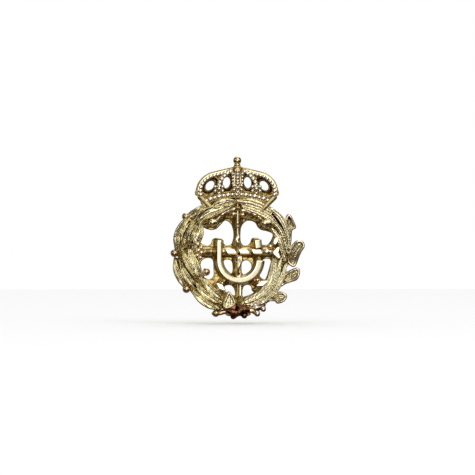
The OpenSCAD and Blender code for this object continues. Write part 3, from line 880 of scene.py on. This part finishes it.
def oak_branch():
    leaf_row("oak_leaves_ring", OAK_RING, (2.75, 3.1, 2.9), 70, ribbon_shape, OAK_LOOK)
    leaf_row("oak_stem", OAK_STEM, (2.5, 2.7, 2.4), 90, ribbon_shape, PLAIN_LOOK)
    cast = Cast((3.5, -16.6, BACK), (18.0, 11.3, 4.2))
    for i, (ring, spine, top, drop) in enumerate(OAK_CUPS):
        cast.add(cup(ring, spine, FRONT - 0.6, top, seed=110 + i, drop=drop), 0.1)
    foot_leaf = [(2.4, -13.0), (5.0, -12.9), (7.9, -11.7)]
    cast.add(leaf(foot_leaf, 2.0, FRONT - 0.6, (2.5, 2.8, 2.7), seed=120, look=OAK_LOOK), 0.1)
    for x, z, r in ((5.2, -15.1, 0.72), (6.75, -13.9, 0.68)):
        cast.add(bead(x, z, FRONT + 0.6, r, 0.9), 0.1)
        cast.add(rod([(x - 0.2, z + 0.3, FRONT + 0.3), (x - 0.4, z + 1.4, FRONT + 0.2)], [0.7, 1.15]), 0.4)
    # painted shade: the cups' hollows are darkened, probed 0.9 mm out from the surface
    leaves = keep_cast(cast, "oak_leaves_outer", CUPPED, probe=0.9)
    inlay(leaves, SATIN, [ring for ring, _, _, _ in OAK_CUPS], 0.58)
    stem = [
        (spline([spot(a, 0.8) for a in (100, 75, 60, 30, 0, -30, -60, -90)], 4), 2.2),
        (spline([(11.6, 2.0), (13.4, 3.4)], 2), 0.6),
        (spline([(11.6, -5.0), (13.6, -5.4)], 2), 1.0),
        (spline([(12.4, -1.4), (14.4, 0.8)], 2), 1.0),
        (spline([(8.0, -9.9), (9.6, -10.9)], 2), 0.8),
    ]
    backing("oak_ring_plate", "oak_backing", OAK_RING + OAK_STEM, stem, -1)


# ---- Tie ----


def tie():
    cast = Cast((-4.5, -16.9, BACK), (4.0, -11.2, 4.0))
    knots = [
        [(-3.2, -13.9, 2.3), (-1.4, -14.6, 2.9), (0.6, -15.0, 2.9)],
        [(-1.2, -15.9, 2.2), (0.4, -14.6, 3.0), (1.9, -12.7, 2.4)],
        [(0.2, -13.0, 2.6), (1.8, -13.9, 2.9), (3.3, -14.3, 2.2)],
    ]
    radii = np.interp(np.linspace(0, 1, 11), [0, 0.5, 1], [0.55, 0.85, 0.5])
    for path in knots:
        cast.add(rod(spline(path, 5), radii), 0.15)
    for x, z, r in ((-1.0, -15.7, 0.75), (1.8, -15.5, 0.8), (0.4, -14.0, 0.9)):
        cast.add(bead(x, z, FRONT + 0.5, r), 0.2)
    low, high = (-3.2, -15.6), (2.9, -12.2)
    band = strokes((np.array([(-2.0, -14.2), (2.4, -14.2)]), 1.5))
    cast.add(slab(band, low, high, BACK - STEP, FRONT + 0.3), 0.2)
    keep_cast(cast, "tie_band", RUDDY)
    cast = Cast((-4.4, -14.6, BACK), (-0.1, -8.8, 4.2))
    ring = [(-2.25, -9.2), (-3.2, -10.8), (-3.9, -12.9), (-2.8, -13.8), (-0.6, -12.7), (-0.9, -11.0)]
    spine = [(-2.2, -13.2), (-2.1, -11.4), (-2.25, -9.8)]
    cast.add(cup(ring, spine, FRONT - 0.5, 3.6, deep=0.5, lip=0.4, seed=131), 0.1)
    keep_cast(cast, "tie_leaf", SATIN)
    cast = Cast((-7.6, -16.6, BACK), (5.0, -12.4, 3.6))
    cast.add(rod([(-6.2, -15.0, 2.2), (-4.4, -14.9, 2.5), (-2.6, -14.4, 2.3)], [0.5, 0.55, 0.5]), 0.1)
    cast.add(rod([(2.6, -14.2, 2.3), (3.8, -14.3, 2.3), (4.7, -14.9, 2.1)], [0.55, 0.6, 0.5]), 0.1)
    keep_cast(cast, "stem_ends", POLISHED)


# ---- Crown ----

CROWN_RIGHT = [  # right half of the crown's outline, upwards from the bottom
    (7.2, 12.0), (8.4, 13.0), (9.0, 14.3), (10.2, 15.3), (11.0, 15.95), (10.75, 17.2), (10.2, 18.9),
    (8.8, 20.6), (6.8, 21.7), (4.6, 22.15), (2.6, 22.6), (1.1, 23.1),
]
CROWN_HOLES = [  # x, z, half width, half height, lean in degrees
    (7.05, 18.2, 0.9, 1.3, -42),
    (2.75, 19.0, 0.88, 1.34, -8),
]


def mirror_x(points):
    return [(-p[0], *p[1:]) for p in points]


def hole_distance(x, z):
    """Distance to the nearest of the crown's four holes, negative inside one."""
    distances = []
    for side, (x0, z0, a, b, lean) in itertools.product((-1, 1), CROWN_HOLES):
        w = math.radians(-side * lean)
        u = (x - side * x0) * math.cos(w) + (z - z0) * math.sin(w)
        v = -(x - side * x0) * math.sin(w) + (z - z0) * math.cos(w)
        distances.append((np.hypot(u / a, v / b) - 1) * min(a, b))
    return np.minimum.reduce(distances)


def crown_web():
    ring = CROWN_RIGHT + mirror_x(CROWN_RIGHT)[::-1] + [(-4.0, 12.6), (0.0, 13.2), (4.0, 12.6)]
    ring = ring_spline(ring, 5)
    low, high = bounds_of(ring, pad=0.4)

    def field(x, z, h):
        hole = hole_distance(x, z)
        walls = smooth_max(outline_distance(x, z, ring), -hole, 0.08) + 0.14 * (h - BACK)
        height = FRONT - 0.1 - 1.2 * np.clip(hole - 0.32, 0, 0.5) + 0.1 * grain(x, z, 0.9, 5)
        return smooth_max(smooth_max(walls, 0.68 * (h - height), 0.2), BACK + STEP - h, 0.1)

    cast = Cast((*low, BACK - 0.1), (*high, FRONT + 0.4))
    cast.add(((*low, BACK), (*high, FRONT + 0.1), field))
    # painted shade: the recessed plate takes the darker shaded gold, is darkened near the arches, and
    # darkened over its front
    keep_cast(cast, "crown_plate", SHADED_RECESS, "crown_web", probe=0.8, shaded_front=True)


CROWN_FOOT = FRONT - 0.9  # the crown's relief reaches down into its plate as far as this
OUTER_ARCH = [
    (9.7, 15.7), (9.75, 17.6), (8.9, 19.4), (7.2, 20.75), (5.2, 21.35), (3.6, 21.75), (2.0, 22.15),
]
INNER_ARCH = [(4.7, 17.6), (4.75, 19.0), (4.1, 20.2), (3.1, 21.3), (1.7, 22.2)]


def arch(node, path, half, top):
    """Arch with a raised lip on each edge, between which the pearls sit."""
    low, high = bounds_of(path, pad=half + 0.4)

    def field(x, z, h):
        d, t, _ = nearest(x, z, path)
        lip = 0.15 * np.exp(-(((d - half + 0.1) / 0.1) ** 2))
        walls = smooth_max(d - half, h - (top + lip - 0.15 * t), 0.15)
        return np.maximum(walls, CROWN_FOOT - h)

    cast = Cast((*low, CROWN_FOOT - 0.1), (*high, top + 0.6), cell=0.08)
    cast.add(((*low, CROWN_FOOT), (*high, top + 0.3), field), 0.05)
    keep_cast(cast, node, ARCH)


def evenly(path, count, start, end):
    """Points at equal steps along a path, between two shares of its length."""
    run = np.concatenate([[0], np.cumsum(np.linalg.norm(np.diff(path, axis=0), axis=1))])
    run /= run[-1]
    at = np.linspace(start, end, count)
    return np.stack([np.interp(at, run, path[:, i]) for i in range(2)], 1)


def crown_arches():
    pearls = []
    for side, word in ((-1, "left"), (1, "right")):
        for kind, points, half, top, count, start in (
            ("outer", OUTER_ARCH, 0.72, FRONT + 0.5, 12, 0.03),
            ("inner", INNER_ARCH, 0.52, FRONT + 0.75, 6, 0.12),
        ):
            path = spline(points if side > 0 else mirror_x(points), 8)
            arch(f"crown_arch_{word}_{kind}", path, half, top)
            places = evenly(0.985 * path, count, start, 0.97)
            pearls += [(x, z, top + 0.37, 0.52, 0.5) for x, z in places]
        pearls += [(side * 1.22, z, FRONT + 1.25, 0.38, 0.7) for z in (18.7, 19.55, 20.4, 21.2)]
    low, high = (-1.75, 16.3), (1.75, 22.4)
    cast = Cast((*low, CROWN_FOOT - 0.1), (*high, FRONT + 2.2), cell=0.08)
    stem = np.array([(0, 16.8), (0, 22.0)])
    cast.add(slab(strokes((stem, [1.3, 1.45, 1.3, 1.15])), low, high, CROWN_FOOT, FRONT + 1.1, 0.2), 0.05)
    cast.add(level_rod([(0, 18.6), (0, 22.0)], FRONT + 0.95, [0.5, 0.42]), 0.1)
    for side in (-1, 1):
        groove = [(side * 0.78, 18.9), (side * 0.68, 21.7)]
        cast.cut(level_rod(groove, FRONT + 1.3, [0.3, 0.26]), 0.1)
    keep_cast(cast, "crown_arch_centre", ARCH)
    pearls += [(0, z, FRONT + 1.6, 0.42, 0.6) for z in (19.3, 20.2, 21.1, 21.9)]
    keep(balls("crown_pearls_v", pearls, PEARL), "crown_pearls")


def crown_band():
    path = [(-8.6, 14.0), (-6.4, 14.9), (-3.4, 15.6), (0, 15.9), (3.4, 15.6), (6.4, 14.9), (8.3, 14.2)]
    path = spline(path, 8)
    low, high = bounds_of(path, pad=1.3)

    def field(x, z, h):
        d, _, _ = nearest(x, z, path)
        lips = 0.25 * np.exp(-(((d - 0.72) / 0.16) ** 2))
        rough = 0.05 * grain(x, z, 0.5, 7)
        walls = smooth_max(d - 0.95, h - (FRONT + 0.85 + lips + rough), 0.15)
        return np.maximum(walls, CROWN_FOOT - h)

    cast = Cast((*low, CROWN_FOOT - 0.1), (*high, FRONT + 1.5))
    cast.add(((*low, CROWN_FOOT), (*high, FRONT + 1.3), field), 0.05)
    keep_cast(cast, "crown_band", WEB)
    places = enumerate(evenly(path, 15, 0.03, 0.97))
    stones = [(x, z, FRONT + 1.1, 0.64 if i % 2 else 0.5, 0.5) for i, (x, z) in places]
    keep(balls("crown_band_stones_v", stones, PEARL), "crown_band_stones")
    cast = Cast((-10.6, 10.6, FRONT - 0.3), (10.6, 16.4, 3.4))
    rib_points = ((9.6, 15.2, 0.1), (7.6, 13.2, 0.75), (5.9, 11.3, 0.5))
    for side in (-1, 1):
        rib = [(side * x, z, FRONT + lift) for x, z, lift in rib_points]
        cast.add(rod(spline(rib, 5), np.linspace(0.78, 0.7, 11)), 0.1)
    keep_cast(cast, "crown_shoulders", BACKING)


def crown_fleurons():
    cast = Cast((-6.9, 15.6, FRONT - 0.2), (6.9, 19.6, FRONT + 3.0), cell=0.08)
    for x, z, lift in ((0.0, 17.6, 1.45), (-4.85, 17.3, 1.0), (4.85, 17.3, 1.0)):
        cast.add(bead(x, z, FRONT + lift - 0.3, 1.3, 0.45), 0.1)
        for i in range(6):
            a = math.tau * (i + 0.5) / 6
            cast.add(bead(x + 1.1 * math.cos(a), z + 1.1 * math.sin(a), FRONT + lift, 0.5, 0.8), 0.05)
        cast.cut(bead(x, z, FRONT + lift + 0.75, 0.9, 0.9), 0.08)
        cast.add(bead(x, z, FRONT + lift + 0.15, 0.58), 0.03)
    keep_cast(cast, "crown_fleurons", ROPE)


def crown_top():
    low, high = box_mm("crown_orb")
    x0, h0 = (low[0] + high[0]) / 2, (low[2] + high[2]) / 2
    r = (high[0] - low[0]) / 2
    centre = high[1] - r
    ball = [(centre + r * math.sin(a), r * math.cos(a)) for a in np.linspace(-0.85, 1.53, 22)]
    neck = [(low[1] + 0.02, 0.9), (low[1] + 0.3, 0.82)]
    keep_turned("crown_orb", neck + ball, upright(x0, h0), POLISHED)
    low, high = box_mm("crown_collar")
    r = (high[0] - low[0]) / 2
    profile = curved_profile([
        (low[1] - 0.25, 0.85 * r), (low[1] + 0.05, 0.95 * r), (low[1] + 0.3, 1.04 * r),
        (low[1] + 0.5, 0.92 * r), (high[1] + 0.02, 0.66 * r),
    ])
    keep_turned("crown_collar", profile, upright(x0, h0), POLISHED)


# ---- Device ----

bow_low, bow_high = box_mm("bow")
BOW_R = 5.25  # radius of the bend's middle line
BOW_C = np.array([(bow_low[0] + bow_high[0]) / 2, -1.15])  # centre of the bend
BATON_Z = centre_mm("baton_rope")[1]


def bow_path(left_top, end_angle, steps=48):
    """Down the left arm, then round the bend to an angle in degrees: 180 is its start, 360 its end."""
    x = BOW_C[0] - BOW_R
    straight = [(x, z) for z in np.linspace(left_top, BOW_C[1] + 0.2, 12)]
    bend = [
        tuple(BOW_C + BOW_R * np.array([math.cos(a), math.sin(a)]))
        for a in np.radians(np.linspace(181, end_angle, steps))
    ]
    return np.array(straight + bend)


def device_web():
    low, high = WREATH - 11.6, WREATH + (11.6, 13.4)
    axes = [  # lines along which the web stands up
        [(0.1, -10.8), (0.1, 12.6)],
        [(-10.8, BATON_Z), (10.2, BATON_Z)],
        bow_path(3.6, 350, 20),
        [(5.6, -1.2), (4.9, 3.9)],
        [(-0.8, 12.2), (-4.2, 10.6), (-6.6, 8.7)],
        [(0.8, 12.2), (5.2, 10.5), (8.0, 8.5)],
        [(-3.3, -6.4), (-4.4, -8.1), (-5.6, -9.6)],
        [(4.3, -6.2), (6.3, -7.4), (7.4, -8.6)],
        [(9.6, 1.0), (9.9, 4.4)],
    ]

    def field(x, z, h):
        disc = np.hypot(x - WREATH[0], z - WREATH[1]) - 11.3
        walls = smooth_max(disc, -openings_distance(x, z), 0.2) + 0.12 * (h - BACK)
        away = np.minimum.reduce([nearest(x, z, axis)[0] for axis in axes])
        fall = 0.95 * (np.sqrt(away**2 + 0.25) - 0.5)
        height = FRONT + 0.2 - np.minimum(fall, 1.0) + 0.07 * grain(x, z, 1.6, 3)
        return smooth_max(smooth_max(walls, 0.76 * (h - height), 0.3), BACK - h, 0.3)

    cast = Cast((*low, BACK - 0.1), (*high, FRONT + 0.6))
    cast.add(((*low, BACK), (*high, FRONT + 0.1), field))
    members = [  # path, height over the plate, radii
        ([(0.1, -10.5), (0.1, 12.4)], -0.1, [0.5, 0.35]),
        ([(-10.4, BATON_Z), (9.8, BATON_Z)], -0.1, 0.75),
        (bow_path(3.4, 358, 20), -0.2, 0.55),
        ([(5.6, -1.0), (5.0, 3.6)], -0.2, 0.5),
        ([(-1.0, 12.0), (-4.2, 10.5), (-6.2, 8.8)], -0.1, [0.3, 0.35, 0.75]),
        ([(1.2, 11.8), (5.2, 10.3), (7.6, 8.6)], -0.1, [0.3, 0.35, 0.75]),
    ]
    for path, lift, radii in members:
        cast.add(level_rod(path, FRONT + lift, radii), 0.8)
    cast.trim(lambda x, z, h: BACK + STEP / 2 - h + 0 * x)
    # painted shade: the web is darkened in its hollows, probed 0.8 mm out from the surface
    keep_cast(cast, "device_plate", WEB, "device_web", probe=0.8)


def bow():
    def top(x, z, t):
        return np.interp(x, [bow_low[0], bow_high[0]], [bow_high[2] - 0.05, FRONT + 1.0])

    def section(t):
        half = np.interp(t, [0, 0.35, 0.7, 1], [0.60, 0.62, 0.74, 0.80])
        return bar_section(half, 0.62)

    main = swept("bow_v", bow_path(4.05, 359), section, BRIGHT, top, FRONT - 0.3)
    keep(main, "bow")
    stub = spline([(5.45, 2.0), (5.35, 2.8), (5.2, 4.1)], 8)
    tip = swept("bow_tip_v", stub, lambda t: bar_section(0.72, 0.4), BRIGHT, top, FRONT - 0.3)
    keep(tip, "bow_tip")
    # painted shade: faces not turned towards the viewer take the darker web gold, so the walls read as shaded
    for bar in (main, tip):
        bar.data.materials.append(WEB)
        for face in bar.data.polygons:
            face.material_index = int(-face.normal.y < 0.8)


def baton():
    low, high = box_mm("baton_rope")
    radius = (high[1] - low[1]) / 2
    pitch = 3.35
    x0, x1 = low[0], high[0]

    def wrap(along, angle):
        phase = ((along - x0) / pitch - angle / math.tau + 0.25) % 1
        seam = min(phase, 1 - phase)
        planed_front = min(1.0, 0.87 / max(math.sin(angle), 0.1))
        return planed_front - 0.42 * math.exp(-((seam / 0.09) ** 2))

    body = [(x, 1.0) for x in np.linspace(x0 + 0.1, x1 - 0.1, 120)]
    outline = [(x0, 0.7), (x0 + 0.05, 0.9)] + body + [(x1 - 0.05, 0.9), (x1, 0.7)]
    profile = [(x, r * radius) for x, r in outline]
    keep_turned("baton_rope", profile, across(BATON_Z, FRONT), ROPE, 48, wrap)
    low, high = box_mm("baton_shaft")
    x0, x1 = low[0], high[0]
    rings = [
        (0, 0.62), (0.5, 0.66), (0.75, 0.95), (1.0, 0.98), (1.25, 0.66), (1.9, 0.6), (2.2, 0.95),
        (2.55, 1.05), (2.9, 0.7), (4.2, 0.72), (5.2, 0.78), (5.6, 1.0),
    ]
    profile = curved_profile([(x0 + x, r) for x, r in rings] + [(x1, 0.86)], 0.05)
    keep_turned("baton_shaft", profile, across(BATON_Z, FRONT), BRIGHT)
    cast = Cast((-11.6, -2.2, FRONT - 0.3), (-8.6, 4.2, 3.6), cell=0.08)
    knobs = [
        (-9.5, 2.05, 0.62), (-9.4, 0.75, 0.66), (-10.2, 1.35, 0.7),
        (-10.3, 2.95, 0.55), (-9.7, -0.5, 0.6), (-10.4, 0.1, 0.55),
    ]
    for x, z, r in knobs:
        cast.add(bead(x, z, FRONT + 0.85, r), 0.12)
        cast.add(rod([(x, z, FRONT - 0.1), (x, z, FRONT + 0.8)], r - 0.1), 0.1)
    keep_cast(cast, "baton_finial_left", BRIGHT)
    cast = Cast((7.2, -1.8, FRONT - 0.4), (11.9, 5.3, 4.0), cell=0.08)
    cast.add(level_rod([(7.5, BATON_Z), (7.75, BATON_Z)], FRONT + 0.1, 0.98), 0.1)
    cast.add(level_rod([(7.8, BATON_Z), (9.6, BATON_Z - 0.1)], FRONT + 0.2, [0.6, 0.62]), 0.2)
    cast.add(bead(8.55, 2.35, FRONT + 0.35, 0.62), 0.12)
    fin = FRONT + 1.1
    cast.add(rod([(9.0, 0.9, FRONT + 0.3), (10.1, 0.8, fin - 0.3)], [0.6, 0.7]), 0.2)
    fork = level_rod([(10.5, 1.8), (9.9, 0.8), (10.7, -0.4)], fin, [0.6, 0.8, 0.55])
    cast.add(planed(fork, fin + 0.45), 0.15)
    flame = rod([(9.3, 2.4, FRONT + 0.4), (9.7, 3.3, fin), (10.1, 4.1, fin)], [0.5, 0.65, 0.75])
    cast.add(planed(flame, fin + 0.5), 0.2)
    keep_cast(cast, "baton_finial_right", BRIGHT)


def staff():
    z0, z1 = height_span("staff_upper")

    def spiral(along, angle):
        swell = math.exp(-(((along - z0 - 2.1) / 1.3) ** 2))
        return 1 + 0.28 * swell * math.cos(2 * angle - 2.4 * (along - z0))

    rings = [
        (0, 0.5), (0.8, 0.62), (2.0, 0.66), (3.0, 0.4), (3.4, 0.27), (5.1, 0.25), (5.3, 0.42), (5.6, 0.45),
        (5.8, 0.25), (6.0, 0.3), (6.35, 0.46), (6.7, 0.3), (7.1, 0.24),
    ]
    profile = curved_profile([(z0 + z, r) for z, r in rings] + [(z1, 0.26)], 0.06)
    keep_turned("staff_upper", profile, upright(0.08, FRONT + 0.25), BRIGHT, 36, spiral)
    z0, z1 = height_span("staff_lower")

    def ribbon(along, angle):
        return 1 + 0.25 * math.cos(2 * angle + 1.3 * (along - z1) + 0.6)

    profile = curved_profile([(z0, 0.6), (z0 + 1.5, 0.72), (z0 + 3.4, 0.86), (z1, 0.9)], 0.08)
    keep_turned("staff_lower", profile, upright(0.3, FRONT + 0.2), BRIGHT, 36, ribbon)
    z0, z1 = height_span("staff_foot")
    profile = curved_profile([(z0, 0.5), (z0 + 0.5, 0.56), (z0 + 2.6, 0.5), (z1, 0.6)], 0.1)
    keep_turned("staff_foot", profile, upright(0.75, FRONT + 0.05), BRIGHT, 32)
    tip = [(-0.95, 12.3), (0.0, 11.5), (0.85, 12.3), (0.05, 13.6)]
    cast = Cast((-1.6, 11.0, FRONT - 0.3), (1.6, 14.4, 3.6), cell=0.08)

    def field(x, z, h):
        edge = outline_distance(x, z, tip)
        return np.maximum(smooth_max(edge, h - (FRONT + 0.55 - 0.9 * edge), 0.05), FRONT - 0.2 - h)

    cast.add(((-1.2, 11.3, FRONT - 0.2), (1.2, 13.9, 3.2), field), 0.05)
    keep_cast(cast, "staff_tip", POLISHED)


def scrolls():
    for side, word in ((-1, "left"), (1, "right")):
        cast = Cast((-10.0, 7.0, FRONT - 0.4), (10.0, 12.9, 3.9), cell=0.08)
        if side < 0:
            arm = [(-0.9, 12.1), (-2.4, 11.6), (-3.7, 10.9), (-4.6, 10.1)]
            bud, beads, leaflet = (-6.25, 8.7), [(-4.7, 9.95), (-5.05, 9.55)], (-1.0, 10.8)
        else:
            arm = [(1.3, 11.7), (3.0, 11.35), (4.4, 10.8), (5.6, 10.1)]
            bud, beads, leaflet = (7.6, 8.5), [(5.6, 10.0), (6.0, 9.6)], (1.4, 10.6)
        arm = spline(arm, 5)
        ripple = 0.4 + 0.13 * np.cos(np.linspace(0, 9, len(arm)))
        cast.add(level_rod(arm, FRONT + 0.45, ripple), 0.1)
        for x, z in beads:
            cast.add(bead(x, z, FRONT + 0.4, 0.42), 0.08)
        cast.add(bead(*leaflet, FRONT + 0.2, 0.62, 0.9), 0.1)
        lean = 0.5 if side > 0 else 0.25
        drop = [(bud[0] - lean, bud[1] - 0.05, FRONT + 0.7), (bud[0] + lean, bud[1] + 0.05, FRONT + 0.6)]
        cast.add(rod(drop, [1.08, 0.98]), 0.1)
        keep_cast(cast, f"scroll_{word}", BRIGHT)


def toggles():
    cast = Cast((-7.0, -10.4, FRONT - 0.4), (9.0, -5.2, 3.6), cell=0.08)
    ends = [
        ((-5.2, -7.3), (-3.4, -8.9), (-3.9, -7.1)),
        ((5.2, -7.7), (7.6, -6.75), (5.2, -6.3)),
    ]
    for p, q, knob in ends:
        mid = ((p[0] + q[0]) / 2, (p[1] + q[1]) / 2)
        body = level_rod([p, mid, q], FRONT + 0.8, [0.35, 0.72, 0.35])
        cast.add(planed(body, FRONT + 1.1), 0.1)
        cast.add(rod([(*mid, FRONT), (*mid, FRONT + 0.6)], [0.6, 0.5]), 0.1)
        cast.add(bead(*knob, FRONT + 0.35, 0.55), 0.15)
    keep_cast(cast, "toggles", BRIGHT)


# ---- Back fastening ----


def saw(value):
    """Triangle wave, 0 to 1 to 0 over one unit."""
    value = value % 1
    return 1 - abs(2 * value - 1)


CREST = 1.245  # radius of the posts, plain or over the thread's crests
THREAD_START = 1.2  # their radius where the thread begins
POINT = [(0.2, 0.98), (0.0, 0.82)]  # their far end: distance from it, radius
PITCH = 0.45  # of the thread
THREAD_DEPTH = 0.216  # share of the radius
SHANK = 2.4  # plain stretch of a post, from the pad
BORE = 1.3  # radius of a nut's bore
KNURL_DEPTH = 0.22
KNURLS = 40  # round a nut


def post(node):
    """Threaded post, with its head in the plate. Gives the place of its axis."""
    low, high = box_mm(node)
    head, length = (high[0] - low[0]) / 2 + 0.02, -low[2]

    def thread(along, angle):
        if along < SHANK + 0.1 or along > length - 0.2:
            return 1.0
        return 1 - THREAD_DEPTH * (1 - saw(along / PITCH - angle / math.tau))

    start = [(-BACK, head), (0.0, head), (0.02, CREST), (SHANK, CREST), (SHANK + 0.08, THREAD_START)]
    turns = [(along, CREST) for along in np.arange(SHANK + 0.12, length - 0.25, PITCH / 10)]
    end = [(length - short, radius) for short, radius in POINT]
    x0, z0, _ = centre_mm(node)
    keep_turned(node, start + turns + end, outward(x0, z0), BRASS, 40, thread)
    return x0, z0


def nut(node, x0, z0):
    """Knurled nut on an axis: a flange towards the badge, the knurled rim, and a collar."""
    low, high = box_mm(node)
    base, thick, outer = -high[2], high[2] - low[2], (high[0] - low[0]) / 2
    hub, shoulder = outer - 0.9, outer - 0.25

    def knurl(along, angle):
        if not base + 0.3 < along < base + thick - 0.75:
            return 1.0
        turns, lean = KNURLS * angle / math.tau, 1.1 * (along - base)
        return 1 - (KNURL_DEPTH / outer) * (1 - saw(turns + lean) * saw(turns - lean))

    flange = [(0.05, BORE), (0, BORE + 0.05), (0, hub - 0.1), (0.06, hub), (0.22, hub), (0.24, shoulder)]
    rim = [(0.3 + i * (thick - 1.05) / 14, outer) for i in range(15)]
    collar = [
        (thick - 0.68, shoulder), (thick - 0.66, hub + 0.05), (thick - 0.1, hub), (thick, hub - 0.1),
        (thick, BORE + 0.12), (thick - 0.1, BORE), (0.05, BORE),
    ]
    profile = [(base + along, radius) for along, radius in flange + rim + collar]
    piece = turned(f"{node}_v", profile, outward(x0, z0), BRASS, 160, knurl)
    mend(piece, welded=True)
    keep(piece, node, node)


def fastenings():
    for side in ("left", "right"):
        nut(f"{side}_nut", *post(f"{side}_post"))
    for node in ("left_post_pad", "right_post_pad", "left_washer", "right_washer"):
        frame["nodes"][node].data.materials.clear()
        frame["nodes"][node].data.materials.append(BRASS)


# ---- Scene ----


def world():
    """White to the eye. Glossy metal sees soft lights in front, behind and above, and dark between them."""
    scene_world = bpy.data.worlds.new("studio")
    bpy.context.scene.world = scene_world
    scene_world.use_nodes = True
    tree = scene_world.node_tree
    tree.nodes.clear()
    node, link = tree.nodes.new, tree.links.new
    place = node("ShaderNodeTexCoord")

    def lobe(direction, inner, outer, strength):
        """Soft round light in a direction, full within inner degrees and gone at outer degrees."""
        dot = node("ShaderNodeVectorMath")
        dot.operation = "DOT_PRODUCT"
        dot.inputs[1].default_value = Vector(direction).normalized()
        link(place.outputs["Generated"], dot.inputs[0])
        edges = [math.cos(math.radians(angle)) for angle in (outer, inner)]
        return mapped(tree, dot.outputs["Value"], *edges, 0.0, strength, "SMOOTHSTEP")

    def background(colour, strength):
        shader = node("ShaderNodeBackground")
        shader.inputs["Color"].default_value = (*colour, 1)
        feed(tree, shader.inputs["Strength"], strength)
        return shader.outputs["Background"]

    lights = [
        lobe((0.03, -1, 0.08), 9, 19, 2.1),
        lobe((0.05, -0.85, 0.5), 18, 66, 0.46),
        lobe((0.2, -0.62, 0.78), 9, 17, 2.0),
        lobe((0.95, -0.45, 0.3), 5, 15, 1.3),
        lobe((-0.9, -0.35, 0.35), 5, 15, 1.0),
        lobe((0, 0.3, 1), 12, 36, 0.7),
        lobe((0, 1, 0), 30, 80, 0.26),
        lobe((0.2, 0.75, 0.75), 10, 26, 1.2),
    ]
    faint = 0.018  # from every direction
    total = lights[0]
    for light in lights[1:] + [faint]:
        total = combined(tree, "ADD", total, light)
    studio = node("ShaderNodeAddShader")
    link(background((1, 1, 1), total), studio.inputs[0])
    link(background((1, 0.45, 0.32), lobe((-0.2, -0.6, -0.8), 10, 45, 0.16)), studio.inputs[1])
    mix = node("ShaderNodeMixShader")
    link(node("ShaderNodeLightPath").outputs["Is Glossy Ray"], mix.inputs["Fac"])
    link(background((1, 1, 1), 1.0), mix.inputs[1])
    link(studio.outputs["Shader"], mix.inputs[2])
    link(mix.outputs["Shader"], node("ShaderNodeOutputWorld").inputs["Surface"])


def soft_light(name, place, aim, size, watts):
    data = bpy.data.lights.new(name, "AREA")
    data.size = size
    data.energy = watts
    obj = bpy.data.objects.new(name, data)
    obj.location = place
    obj.rotation_euler = (Vector(aim) - Vector(place)).to_track_quat("-Z", "Y").to_euler()
    bpy.context.collection.objects.link(obj)


def floor():
    low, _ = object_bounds()
    half, z = 0.5, low[2] - 0.0012
    corners = [(-half, -half, z), (half, -half, z), (half, half, z), (-half, half, z)]
    mesh = bpy.data.meshes.new("floor")
    mesh.from_pydata(corners, [], [(0, 1, 2, 3)])
    obj = bpy.data.objects.new("floor", mesh)
    bpy.context.collection.objects.link(obj)
    material, _, shader = new_material("pale_floor")
    shader.inputs["Base Color"].default_value = (0.93, 0.93, 0.93, 1)
    shader.inputs["Roughness"].default_value = 0.8
    shader.inputs["Specular IOR Level"].default_value = 0.0
    mesh.materials.append(material)
    obj.visible_glossy = False
    obj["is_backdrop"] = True


def camera():
    """Sees about 123 mm across at the badge, from nearly straight in front."""
    low, high = (np.array(corner) for corner in cad_box)
    wide, away, azimuth = 0.1232, 0.75, math.radians(-4)
    aim = Vector(((low[0] + high[0]) / 2, -0.002, (low[2] + high[2]) / 2))
    data = bpy.data.cameras.new("camera")
    data.sensor_width = 36
    data.lens = 36 * away / wide
    obj = bpy.data.objects.new("camera", data)
    obj.location = aim + away * Vector((math.sin(azimuth), -math.cos(azimuth), 0.0))
    obj.rotation_euler = (aim - obj.location).to_track_quat("-Z", "Y").to_euler()
    bpy.context.collection.objects.link(obj)
    bpy.context.scene.camera = obj


for make in (
    laurel_branch, laurel_berries, oak_branch, tie,
    crown_web, crown_arches, crown_band, crown_fleurons, crown_top,
    device_web, bow, baton, staff, scrolls, toggles,
    fastenings, world, floor, camera,
):
    make()
soft_light("key", (0.35, -0.5, 0.45), (0, 0, 0), 0.35, 0.5)
soft_light("fill", (-0.5, -0.4, 0.2), (0, 0, 0), 0.4, 0.12)
bpy.context.scene.view_settings.view_transform = "Standard"
